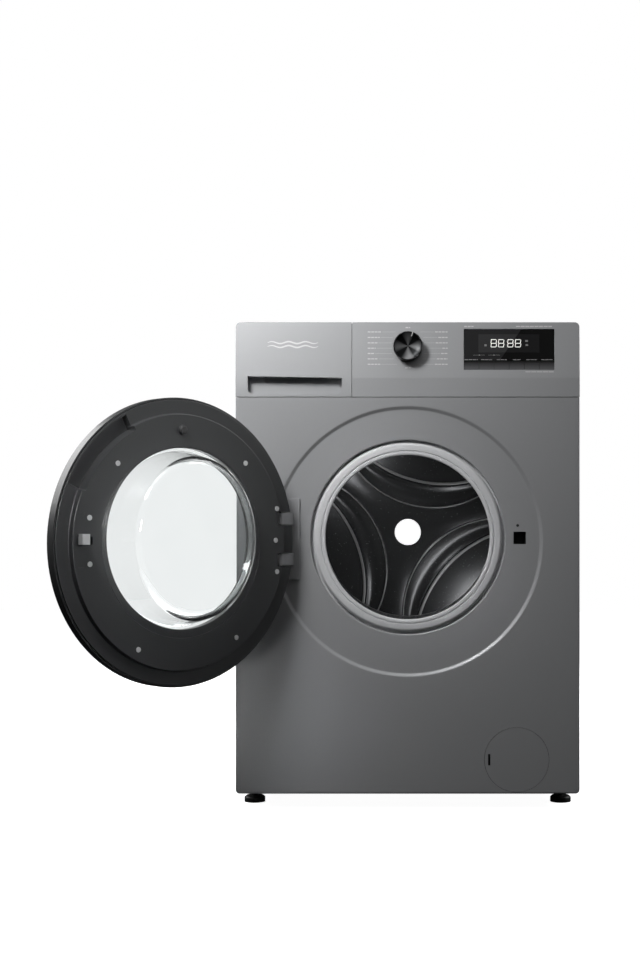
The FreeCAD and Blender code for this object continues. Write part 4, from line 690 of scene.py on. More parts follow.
class Wardrobe:
    """Keeps one material for each finish, made when it is first asked for."""

    def __init__(self) -> None:
        """Start with nothing made."""
        self._made: dict[Dress, bpy.types.Material] = {}

    def material(self, dress: Dress) -> bpy.types.Material:
        """Return the material of a finish, and make it if it is new."""
        if dress not in self._made:
            self._made[dress] = dress.value.build()
        return self._made[dress]

    def put_on(self, thing: bpy.types.Object, dress: Dress) -> None:
        """Dress a whole object in one finish."""
        thing.data.materials.clear()
        thing.data.materials.append(self.material(dress))


SLOT_DRESS = {
    "painted_steel": Dress.PAINT,
    "top_laminate": Dress.TOP,
    "zinc_steel": Dress.ZINC,
    "base_plastic": Dress.BASE,
    "strip_plastic": Dress.STRIP,
    "display_black": Dress.PANE,
    "circuit_board": Dress.CIRCUIT,
    "gasket_rubber": Dress.GASKET,
    "white_plastic": Dress.WHITE,
    "tub_plastic": Dress.TUB,
    "dark_plastic": Dress.DARK,
    "hose_rubber": Dress.HOSE,
    "concrete": Dress.CONCRETE,
    "bearing_steel": Dress.BEARING,
    "motor_steel": Dress.MOTOR,
    "heater_steel": Dress.HEATER,
    "stainless": Dress.STAR,
    "cast_aluminium": Dress.CAST,
    "door_plastic": Dress.DOOR,
    "door_glass": Dress.GLASS,
    "latch_metal": Dress.LATCH,
    "knob_metal": Dress.KNOB_RIM,
    "foot_plastic": Dress.FOOT,
}


# ---------------------------------------------------------------- workshop


class Workshop:
    """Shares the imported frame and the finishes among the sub-assemblies."""

    def __init__(self, frame: dict[str, Any]) -> None:
        """Read which slot each node belongs to.
        """
        self.nodes: dict[str, bpy.types.Object] = frame["nodes"]
        self.wardrobe = Wardrobe()
        self.slots: dict[str, str] = {}
        for part in frame["record"]["subparts"]:
            self.slots[part["node"]] = part["material_slot"]

    def finish_piece(
        self,
        piece: bpy.types.Object,
        dress: Dress,
        body: str = "",
        stands_for: Sequence[str] = (),
        between: tuple[str, str, Sequence[float], Sequence[float]] | None = None,
    ) -> bpy.types.Object:
        """Dress a piece, hang it on its body and hide the nodes it stands for.

        Args:
            piece: The new piece.
            dress: Its finish.
            body: The body it rides on.
            stands_for: Nodes of the frame that it replaces.
            between: Two bodies and the start and end of a bend in millimetres; when given, the piece is hung
                on no body and its place is baked in, and these values are not used.

        Returns:
            The piece.
        """
        self.wardrobe.put_on(piece, dress)
        if between:
            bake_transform(piece)
        else:
            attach(piece, body)
        if stands_for:
            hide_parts(*stands_for)
        LOG.info("%s: %d faces", piece.name, len(piece.data.polygons))
        return piece

    def smoothed(self, node: str, sharp_degrees: float = 32, bevel_mm: float = 0.0) -> bpy.types.Object:
        """Copy a node's mesh with its corners merged and its curved faces smooth.

        Args:
            node: The node's name.
            sharp_degrees: Edges that turn more than this stay sharp.
            bevel_mm: Width of a small round put on the sharp edges, or none.

        Returns:
            The new object, which replaces nothing yet.
        """
        mesh = self.nodes[node].data.copy()
        work = bmesh.new()
        work.from_mesh(mesh)
        bmesh.ops.remove_doubles(work, verts=work.verts, dist=1e-5)
        bmesh.ops.dissolve_limit(
            work, angle_limit=math.radians(0.5), verts=work.verts, edges=work.edges, delimit={"NORMAL"}
        )
        work.to_mesh(mesh)
        work.free()
        mesh.shade_smooth()
        mesh.set_sharp_from_angle(angle=math.radians(sharp_degrees))
        piece = bpy.data.objects.new(node + "_skin", mesh)
        bpy.context.scene.collection.objects.link(piece)
        if bevel_mm:
            modifier = piece.modifiers.new("Round", "BEVEL")
            modifier.width = bevel_mm * MM
            modifier.segments = 2
            modifier.limit_method = "ANGLE"
            modifier.angle_limit = math.radians(sharp_degrees)
        weighted = piece.modifiers.new("Flats", "WEIGHTED_NORMAL")
        weighted.keep_sharp = True
        weighted.weight = 80
        return piece

    def refine(self, node: str, dress: Dress | None = None, bevel_mm: float = 0.0) -> bpy.types.Object:
        """Replace a node by its smooth copy, in its slot's finish or the one given."""
        slot = self.slots[node]
        piece = self.smoothed(node, bevel_mm=bevel_mm)
        body = self.nodes[node]["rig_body"]
        return self.finish_piece(piece, dress or SLOT_DRESS[slot], body, [node])


# ---------------------------------------------------------------- sub-assemblies


@dataclass
class FrontPanel:
    """Pressed steel front: door recess, loading opening with a rolled edge, folded rim and small openings."""

    half_width: float = 298.0
    foot: float = 27.5
    head: float = 714.3
    corner: float = 7.0
    edge_round: float = 3.0
    crisp: float = 0.12
    fold: float = 20.0
    sheet: float = 1.0
    recess_centre: tuple[float, float] = (0.0, 464.7)
    recess_radius: float = 234.7
    recess_depth: float = 3.0
    recess_slope: float = 7.0
    opening_centre: tuple[float, float] = (0.0, 472.0)
    opening_radius: float = 168.0
    lock_centre: tuple[float, float] = (194.2, 470.9)
    lock_slot: float = 21.5
    filter_centre: tuple[float, float] = (188.9, 86.5)
    filter_radius: float = 56.3

    def rim(self, inset: float, turn: np.ndarray) -> np.ndarray:
        """Return where rays from the recess centre meet the outline, drawn in by an inset.

        A ray meets the nearest of the four sides. In a lower corner it meets the corner's circle
        instead, at the far root of the ray's quadratic with that circle.

        Args:
            inset: How far inside the outline, in millimetres.
            turn: Directions of the rays.

        Returns:
            X and Z of each meeting, one row for each ray.
        """
        dx, dz = np.cos(turn), np.sin(turn)
        cz = self.recess_centre[1]
        half = self.half_width - inset
        top, bottom = self.head - inset * self.crisp - cz, self.foot + inset - cz
        with np.errstate(divide="ignore"):
            to_side = half / np.abs(dx)
            to_level = np.where(dz > 0, top / dz, bottom / dz)
        reach = np.minimum(to_side, np.abs(to_level))
        x, z = reach * dx, reach * dz
        radius = max(self.corner - inset, 0.3)
        corner_x, corner_z = half - radius, bottom + radius
        in_corner = (np.abs(x) > corner_x) & (z < corner_z)
        ax = corner_x * np.sign(dx)
        b = dx * ax + dz * corner_z
        c = ax**2 + corner_z**2 - radius**2
        root = b + np.sqrt(np.maximum(b * b - c, 0))
        reach = np.where(in_corner, root, reach)
        return np.stack((reach * dx, cz + reach * dz), axis=-1)

    def rings(self) -> list[tuple[str, float, float]]:
        """List the rings of the pressing from the opening outwards and back inside.

        Returns:
            For each ring its kind, its radius or inset, and its Y.
        """
        floor = FRONT + self.recess_depth
        back_roll = floor + 9
        rings: list[tuple[str, float, float]] = [("opening", 0.0, back_roll), ("opening", 0.0, floor + 2.6)]
        for angle in np.linspace(0, math.pi / 2, 5):
            rings.append(("opening", 2 * (1 - math.cos(angle)), floor + 2 * (1 - math.sin(angle))))
        rings.append(("opening", 3.0, floor))
        low, high = self.recess_radius - self.recess_slope, self.recess_radius + 0.5
        for t in np.linspace(-0.15, 1.15, 11):
            share = float(smooth_step(np.array(t), 0, 1))
            rings.append(("recess", low + (high - low) * t, floor - self.recess_depth * share))
        for angle in [-0.4, *np.linspace(0, math.pi / 2, 6)]:
            inset = self.edge_round * (1 - math.sin(max(angle, 0))) + (1.2 if angle < 0 else 0)
            rings.append(("rim", inset, FRONT + self.edge_round * (1 - math.cos(max(angle, 0)))))
        rings += [("rim", 0.0, FRONT + self.edge_round + 1), ("rim", 0.0, FRONT + self.fold)]
        rings += [("rim", self.sheet, FRONT + self.fold), ("rim", self.sheet, FRONT + self.edge_round)]
        rings += [
            ("rim", self.edge_round + 1, FRONT + self.sheet), ("recess", high + 1.5, FRONT + self.sheet)
        ]
        rings += [("recess", low + 0.5, floor + self.sheet), ("opening", 4.0, floor + self.sheet)]
        rings += [("opening", 1.0, floor + 3.4), ("opening", 1.0, back_roll)]
        return rings

    def build(self, shop: Workshop) -> None:
        """Build and hang the panel.

        Args:
            shop: The workshop.
        """
        even = np.linspace(0, TURN, 640, endpoint=False)
        corners = []
        for x in (-self.half_width, self.half_width):
            for z in (self.foot, self.head):
                middle = math.atan2(z - self.recess_centre[1], x)
                corners.append(middle + np.radians(np.linspace(-1.2, 1.2, 13)))
        turn = np.unique(np.round(np.concatenate([even, *corners]) % TURN, 9))
        rows = []
        for kind, value, depth in self.rings():
            if kind == "rim":
                flat = self.rim(value, turn)
            else:
                centre = self.opening_centre if kind == "opening" else self.recess_centre
                radius = self.opening_radius + value if kind == "opening" else value
                flat = np.stack(
                    (centre[0] + radius * np.cos(turn), centre[1] + radius * np.sin(turn)), axis=-1
                )
            rows.append(np.stack((flat[:, 0], np.full(len(turn), depth), flat[:, 1]), axis=-1))
        piece = surface("front_panel_pressing", np.array(rows), sharp_degrees=50)
        half = self.lock_slot / 2
        slot = block(
            "slot_cutter",
            (self.lock_centre[0] - half, self.lock_centre[0] + half),
            (FRONT - 2, FRONT + 10),
            (self.lock_centre[1] - half, self.lock_centre[1] + half),
        )
        lock_z = self.lock_centre[1] + 21.5
        tell_tale = surface(
            "hole_cutter",
            revolve(
                "hole",
                [(0, FRONT - 2), (2.5, FRONT - 2), (2.5, FRONT + 10), (0, FRONT + 10)],
                (190.7, lock_z),
                32,
            ),
            wrap_rows=False,
        )
        filter_hole = surface(
            "filter_cutter",
            revolve(
                "filter hole",
                [
                    (0, FRONT - 2),
                    (self.filter_radius, FRONT - 2),
                    (self.filter_radius, FRONT + 10),
                    (0, FRONT + 10),
                ],
                self.filter_centre,
                128,
            ),
            wrap_rows=False,
        )
        carve(piece, slot, tell_tale, filter_hole)
        shop.finish_piece(piece, Dress.PAINT, "cabinet", ["front_panel"])


@dataclass
class Cabinet:
    """Side panels and top of the cabinet."""

    rounded: tuple[str, ...] = ("side_panel_left", "side_panel_right", "top_panel")

    def build(self, shop: Workshop) -> None:
        """Refine every cabinet node, with rounded edges where a hand would feel them.

        Args:
            Refine the side panels and top, with rounded edges where a hand would feel them.
        """
        for node in self.rounded:
            shop.refine(node, bevel_mm=0.8)


@dataclass
class ControlStrip:
    """Drawer front with its pull, fascia with prints, knob, display and keys."""

    knob_centre: tuple[float, float] = (0.5, 801.9)
    knob_radius: float = 25.4
    label_rows: tuple[float, ...] = (828.0, 818.4, 808.9, 799.6, 790.4, 781.0, 771.6)
    left_words: tuple[float, ...] = (24.0, 21.0, 17.0, 14.0, 11.0, 18.0, 22.0)
    right_words: tuple[float, ...] = (21.9, 16.2, 20.8, 9.2, 11.5, 18.9, 22.4)
    label_reach: float = 69.3
    leader_start: float = 27.5
    digit_left: tuple[float, ...] = (143.7, 156.6, 172.6, 185.8)
    digit_foot: float = 801.2
    digit_size: tuple[float, float] = (10.2, 14.0)
    stroke: float = 1.15
    slant: float = 0.14

    def printed(
        self,
        name: str,
        bars: Sequence[tuple[float, float, float, float]],
        proud: float = 0.12,
        slant: float = 0.0,
    ) -> bpy.types.Object:
        """Make flat marks lying on the strip's leaning face.

        Args:
            name: Name of the piece.
            bars: Left, foot, right and top of each mark.
            proud: How far the marks stand off the face.
            slant: How far a mark leans to the right for each millimetre of its height.

        Returns:
            The new piece.
        """
        marks = np.array(bars, float)
        level = np.zeros(len(marks))
        low = np.stack((marks[:, 0], level - proud, marks[:, 1]), axis=-1)
        high = np.stack((marks[:, 2], level + 0.25, marks[:, 3]), axis=-1)
        piece = slabs(name, low, high, slant)
        move_points(
            piece,
            lambda spots: spots + np.stack((0 * spots[:, 0], lean(spots[:, 2]), 0 * spots[:, 0]), axis=-1),
        )
        return piece

    @staticmethod
    def greeked(
        left: float, right: float, middle: float, height: float, word: float = 5.0
    ) -> list[tuple[float, float, float, float]]:
        """Break a line of print into short plain bars, a word and a gap at a time."""
        starts = np.arange(left, right - 0.8, word + 1.0)
        return [(s, middle - height / 2, min(s + word, right), middle + height / 2) for s in starts]

    def labels(
        self
    ) -> tuple[list[tuple[float, float, float, float]], list[tuple[float, float, float, float]]]:
        """Lay out the programme names and their leader lines.

        Returns:
            The bars of the names, and the bars of the leaders.
        """
        names: list[tuple[float, float, float, float]] = []
        leaders: list[tuple[float, float, float, float]] = []
        for row, left, right in zip(self.label_rows, self.left_words, self.right_words):
            offset = row - self.knob_centre[1]
            edge = math.sqrt(max(self.leader_start**2 - offset**2, 0)) * 0.35 + self.leader_start * 0.66
            names += self.greeked(-self.label_reach, -self.label_reach + left, row, 1.7)
            names += self.greeked(self.label_reach - right, self.label_reach, row, 1.7)
            leaders.append((-self.label_reach + left + 1.6, row - 0.18, -edge, row + 0.18))
            leaders.append((edge + 1.0, row - 0.18, self.label_reach - right - 1.6, row + 0.18))
        names += self.greeked(-3.6, 4.4, 835.6, 1.7)
        names += self.greeked(-4.0, 5.0, 765.4, 1.7)
        return names, leaders

    def digits(self) -> list[tuple[float, float, float, float]]:
        """Lay out four seven-segment digits, each showing eight, before their slant.

        Returns:
            The bars of every segment.
        """
        width, height = self.digit_size
        t = self.stroke
        bars = []
        for left in self.digit_left:
            foot = self.digit_foot
            middle = foot + height / 2
            for level in (foot, middle - t / 2, foot + height - t):
                bars.append((left + t * 0.7, level, left + width - t * 0.7, level + t))
            for side in (left, left + width - t):
                bars.append((side, foot + t * 0.8, side + t, middle - t * 0.35))
                bars.append((side, middle + t * 0.35, side + t, foot + height - t * 0.8))
        return bars

    def build_mark(self, shop: Workshop) -> None:
        """Print a plain symbol of water, two waves, on the drawer front.

        A wave's middle is its height times the sine of its way along, and its half thickness tapers as
        a sine towards both ends.

        Args:
            shop: The workshop.
        """
        along = np.linspace(0, 1, 97)
        grids = []
        for level in (809.4, 802.6):
            middle = level + 1.7 * np.sin(along * TURN * 3)
            half = 0.25 + 1.15 * np.sin(math.pi * along) ** 0.5
            x = -243.0 + 88.0 * along
            ring = [
                (middle - half, -0.12), (middle + half, -0.12), (middle + half, 0.25), (middle - half, 0.25)
            ]
            grids.append(np.array([np.stack((x, lean(z) + proud, z), axis=-1) for z, proud in ring]))
        for number, grid in enumerate(grids, 1):
            wave = surface(f"drawer_mark_{number}", grid, wrap_columns=False, sharp_degrees=30)
            cap_ends(wave)
            shop.finish_piece(wave, Dress.PRINT, "drawer")

    def build_knob(self, shop: Workshop) -> None:
        """Build the knob: a dark rim and a dished, spun face with a pointer notch.

        Args:
            shop: The workshop.
        """
        r = self.knob_radius
        rim = soften(
            [
                (r - 2.6, FRONT - 13.5),
                (r - 1.9, FRONT - 16.8),
                (r - 0.6, FRONT - 16.6),
                (r, FRONT - 12),
                (r, FRONT + 0.5),
                (r - 4, FRONT + 0.5),
            ],
            0.8,
        )
        piece = surface("knob_rim", revolve("knob rim", rim, self.knob_centre, 128))
        shop.finish_piece(piece, Dress.KNOB_RIM, "knob", ["program_knob"])
        face = [
            (0, FRONT - 11.2),
            (8, FRONT - 12.0),
            (16, FRONT - 13.6),
            (r - 3.0, FRONT - 15.4),
            (r - 2.2, FRONT - 16.2),
        ]
        face += [(r - 2.2, FRONT - 9), (0, FRONT - 8)]
        disc = surface("knob_face", revolve("knob face", face, self.knob_centre, 128), wrap_rows=False)
        # The spun face's wedges of light and dark are painted sheen.
        shop.finish_piece(disc, Dress.KNOB, "knob")
        angle = math.radians(70)
        ca, sa = math.cos(angle), math.sin(angle)
        pointer = self.printed("knob_pointer", [(-0.7, r - 8.0, 0.7, r - 1.2)])


        def turned(spots: np.ndarray) -> np.ndarray:
            """Lay the upright mark along the pointer's direction, on the knob's face."""
            across, along = spots[:, 0], spots[:, 2]
            depth = np.where(spots[:, 1] < spots[:, 1].mean(), FRONT - 16.9, FRONT - 12.0)
            x = self.knob_centre[0] + along * ca + across * sa
            return np.stack((x, depth, self.knob_centre[1] + along * sa - across * ca), axis=-1)

        move_points(pointer, turned)
        shop.finish_piece(pointer, Dress.PRINT, "knob")

    def build(self, shop: Workshop) -> None:
        """Build the strip.

        Args:
            shop: The workshop.
        """
        shop.refine("drawer_front", bevel_mm=0.25)
        shop.refine("control_fascia", bevel_mm=0.25)
        self.build_mark(shop)
        shop.refine("filter_cover", Dress.PAINT)
        names, leaders = self.labels()
        shop.finish_piece(self.printed("programme_marks", names), Dress.PRINT, "cabinet")
        shop.finish_piece(self.printed("leader_lines", leaders), Dress.PRINT, "cabinet")
        around = self.greeked(98.2, 114.3, 837.6, 1.8) + self.greeked(188.0, 250.5, 837.6, 2.0, 7.0)
        around += self.greeked(204.0, 254.0, 758.4, 1.6, 9.0)
        shop.finish_piece(self.printed("display_notes", around), Dress.PRINT, "cabinet")
        # The display field wears a painted reflection, lighter left of a slanted line.
        inner = self.printed("display_field", [(122.7, 792.2, 228.2, 824.0)], 0.05)
        shop.finish_piece(inner, Dress.PANE_INNER, "cabinet")
        lit = self.printed("display_digits", self.digits(), 0.16, self.slant)
        shop.finish_piece(lit, Dress.LIT, "cabinet")
        icons = [(170.2, 804.6, 171.5, 806.0), (170.9, 810.6, 172.2, 812.0), (133.0, 803.0, 137.0, 806.4)]
        icons += [(204.0, 810.6, 208.6, 814.0), (204.4, 803.6, 208.8, 806.6), (113.5, 787.4, 134.0, 787.8)]
        icons += [(123.2, 786.6, 125.2, 788.6), (139.5, 787.4, 160.0, 787.8), (148.6, 786.6, 150.6, 788.6)]
        for left, right in (
            (98.6, 121.6), (127.2, 146.4), (154.2, 171.8), (182.6, 195.6), (205.7, 224.0), (231.2, 251.6)
        ):
            icons += self.greeked(left, right, 779.6, 1.5, 6.0)
        shop.finish_piece(self.printed("display_icons", icons, 0.14), Dress.FAINT, "cabinet")
        self.build_knob(shop)
        # The touch keys wear a painted sheen, grey at their foot.
        for number in range(1, 7):
            shop.refine(f"touch_key_{number}", Dress.KEYS)


@dataclass
class Door:
    """The open door: rear frame, glass bowl and front ring, swung about the hinge axis."""

    hinge: tuple[float, float] = (-218.6, -270.0)
    angle: float = -136.2
    centre: tuple[float, float] = (-1.0, 464.7)
    glass_centre: tuple[float, float] = (-1.0, 471.0)
    glass_radius: float = 141.0
    glass_wall: float = 4.0
    glass_deep: float = 52.0
    glass_shallow: float = 16.0
    taper: float = 0.25
    grip: tuple[float, float, float, float] = (24.0, 62.0, 199.5, 224.0)
    grip_depth: float = 21.0

    def swing(self, points: np.ndarray) -> np.ndarray:
        """Turn points of the closed door about the hinge axis to where it stands open.

        Args:
            points: Places of the closed door in millimetres.

        Returns:
            The same places on the open door.
        """
        angle = math.radians(self.angle)
        x, y = points[..., 0] - self.hinge[0], points[..., 1] - self.hinge[1]
        swung = points.copy()
        swung[..., 0] = self.hinge[0] + x * math.cos(angle) - y * math.sin(angle)
        swung[..., 1] = self.hinge[1] + x * math.sin(angle) + y * math.cos(angle)
        return swung

    def rear_frame(self) -> np.ndarray:
        """Work out the rear frame: a flat dish, its step and the grip trough.

        The profile gives a distance ahead of the panel for each radius. Inside the grip's angles and
        radii, both with soft edges, the distance is mixed towards the trough's own depth.

        Returns:
            The grid of the closed door.
        """
        corners = [
            (145.0, 15.8), (145.0, 3.0), (152.4, 3.0), (152.8, 3.9), (153.2, 3.0), (205.0, 3.0), (206.4, 12.0)
        ]
        corners += [(229.2, 12.0), (229.2, 15.0), (202.0, 15.0), (202.0, 6.0), (148.0, 6.0), (148.0, 15.8)]
        profile = soften(corners, 1.0, 3)
        fine = []
        for first, second in zip(profile, np.roll(profile, -1, axis=0)):
            count = max(int(np.linalg.norm(second - first) / 2.4), 1)
            fine.append(first + (second - first) * np.linspace(0, 1, count, endpoint=False)[:, None])
        section = np.concatenate(fine)
        turn = np.linspace(0, TURN, 720, endpoint=False)
        degrees = np.degrees(turn)[None, :]
        radius, ahead = section[:, 0][:, None], section[:, 1][:, None]
        low, high, near, far = self.grip
        window = smooth_step(degrees, low - 0.35, low + 0.35) * (
            1 - smooth_step(degrees, high - 0.35, high + 0.35)
        )
        band = smooth_step(radius, near - 0.8, near + 0.8) * (1 - smooth_step(radius, far - 0.8, far + 0.8))
        sunk = np.where(self.is_rear(section)[:, None], self.grip_depth, self.grip_depth + 2.5)
        depth = ahead + (sunk - ahead) * window * band
        x = self.centre[0] + radius * np.cos(turn)
        z = self.centre[1] + radius * np.sin(turn)
        inner = np.clip((152.0 - radius) / 4, 0, 1)
        z = z + inner * (self.glass_centre[1] - self.centre[1])
        return np.stack((x, FRONT - depth, z), axis=-1)

    @staticmethod
    def is_rear(section: np.ndarray) -> np.ndarray:
        """Tell which points of the frame's section lie on the face turned to the panel."""
        step = np.where(section[:, 0] > 205.6, 13.4, 4.6)
        return section[:, 1] < step

    def bowl(self) -> np.ndarray:
        """Work out the glass: flange, tapering wall and slanted bottom, outside then inside.

        A wall point's radius falls by the taper for each millimetre of depth. The wall ends where it
        meets the slanted plane, at depth = middle + radius times the cosine of the turn times the
        slope, which gives the radius in one division. Corners are quadratic curves.

        Returns:
            The grid of the closed door, from the outer pole to the inner pole.
        """
        turn = np.linspace(0, TURN, 256, endpoint=False)
        slope = (self.glass_deep - self.glass_shallow) / (2 * self.glass_radius - 34)
        middle = (self.glass_deep + self.glass_shallow) / 2

        def path(rim: float, top: float, lift: float, bend: float) -> tuple[np.ndarray, np.ndarray]:
            """Return radius and distance ahead from the rim down the wall and in to the middle."""
            rate = np.cos(turn) * slope
            foot = (rim / self.taper - top - middle + lift) / (1 / self.taper + rate)
            depth = -(middle - lift) - foot * rate
            t = np.linspace(0, 1, 7)[:, None]
            share = bend / (top - depth)
            radii = [rim + (foot - rim) * s * (1 - share) for s in (0, 0.02, 0.35, 0.7, 0.98)]
            heights = [top + (depth - top) * s * (1 - share) for s in (0, 0.02, 0.35, 0.7, 0.98)]
            wall_r, wall_q = rim + (foot - rim) * (1 - share), top + (depth - top) * (1 - share)
            inner = 1 - bend / foot
            floor_r, floor_q = foot * inner, -(middle - lift) - foot * inner * rate
            curve_r = (1 - t) ** 2 * wall_r + 2 * t * (1 - t) * foot + t**2 * floor_r
            curve_q = (1 - t) ** 2 * wall_q + 2 * t * (1 - t) * depth + t**2 * floor_q
            reach = np.array([0.97, 0.7, 0.4, 0.15, 0.0])[:, None]
            bottom_r = floor_r * reach
            bottom_q = -(middle - lift) - bottom_r * rate
            return (
                np.concatenate((np.array(radii), curve_r, bottom_r)),
                np.concatenate((np.array(heights), curve_q, bottom_q)),
            )

        outer_r, outer_q = path(self.glass_radius, 16.0, 0.0, 9.0)
        inner_r, inner_q = path(self.glass_radius - self.glass_wall, 20.0, self.glass_wall, 6.0)
        flange = np.array([(156.2, 16.0), (157.0, 16.6), (157.0, 19.4), (156.2, 20.0)])
        flange_r = np.repeat(flange[:, :1], len(turn), axis=1)
        flange_q = np.repeat(flange[:, 1:], len(turn), axis=1)
        radius = np.concatenate((outer_r[::-1], flange_r, inner_r))
        ahead = np.concatenate((outer_q[::-1], flange_q, inner_q))
        x = self.glass_centre[0] + radius * np.cos(turn)
        z = self.glass_centre[1] + radius * np.sin(turn)
        return np.stack((x, FRONT - ahead, z), axis=-1)

    def build(self, shop: Workshop) -> None:
        """Build and hang the door.

        Args:
            shop: The workshop.
        """
        frame = surface("door_rear_frame", self.rear_frame(), sharp_degrees=45)
        cutters = [block("hook_cutter", (169, 194), (FRONT - 18, FRONT + 2), (462.5, 474.5))]
        cutters.append(block("snap_cutter", (184, 194), (FRONT - 4.6, FRONT + 2), (507, 511)))
        cutters.append(block("snap_cutter", (184, 194), (FRONT - 4.6, FRONT + 2), (428, 432)))
        for level in (434.0, 504.0):
            span = (level - 11.5, level + 11.5)
            cutters.append(block("arm_cutter", (-246, -192), (FRONT - 22, FRONT + 4), span))
        carve(frame, *cutters)
        self.open(frame)
        shop.finish_piece(frame, Dress.DOOR, "door", ["door_inner_frame"])
        glass = surface("door_glass_bowl", self.swing(self.bowl()), wrap_rows=False, sharp_degrees=80)
        shop.finish_piece(glass, Dress.GLASS, "door", ["door_glass"])
        shop.refine("door_outer_ring")
        for node, dress in (
            ("door_screws", Dress.SCREW), ("door_buffer", Dress.HOSE), ("latch_hook", Dress.SCREW)
        ):
            shop.refine(node, dress, bevel_mm=0.3)
        shop.refine("hinge_pin", Dress.CHROME)
        shop.refine("hinge_bracket", Dress.HINGE, bevel_mm=0.4)

    def open(self, piece: bpy.types.Object) -> None:
        """Swing a piece's mesh from the closed door to the open one."""
        move_points(piece, self.swing)


@dataclass
class Gasket:
    """Rubber door gasket, from its front rings to the sleeve on the tub."""

    centre: tuple[float, float] = (0.0, 472.0)
    lip: float = 142.0
    rim: float = 164.0

    def build(self, shop: Workshop) -> None:
        """Build the gasket between the cabinet and the tub, with its place baked in.

        Args:
            shop: The workshop.
        """
        face = FRONT + 2
        corners = [
            (self.lip, face + 3.0), (self.lip + 1, face + 0.6), (self.lip + 4, face), (148.8, face + 0.2)
        ]
        corners += [
            (149.2, face + 1.6), (149.9, face + 1.6), (150.3, face + 0.2), (154.0, face), (160.5, face + 0.6)
        ]
        corners += [(self.rim, face + 4.5), (self.rim, face + 10.5), (175, face + 10.5), (175, face + 15)]
        corners += [
            (163.5, face + 15), (163.5, face + 24), (176, face + 31), (176, face + 36), (161, face + 44)
        ]
        corners += [
            (167.2, face + 56),
            (167.2, face + 74),
            (163.7, face + 74),
            (163.7, face + 59),
            (157.5, face + 44.5),
        ]
        corners += [
            (172.5, face + 35), (172.5, face + 32.5), (160, face + 26), (160, face + 11), (148, face + 5.5)
        ]
        grid = revolve("gasket", soften(corners, 1.6, 4), self.centre, 256)
        piece = surface("door_gasket_rubber", grid, sharp_degrees=70)
        between = ("cabinet", "tub", (0, face + 16, 472), (0, face + 58, 472))
        shop.finish_piece(piece, Dress.GASKET, stands_for=["door_gasket"], between=between)


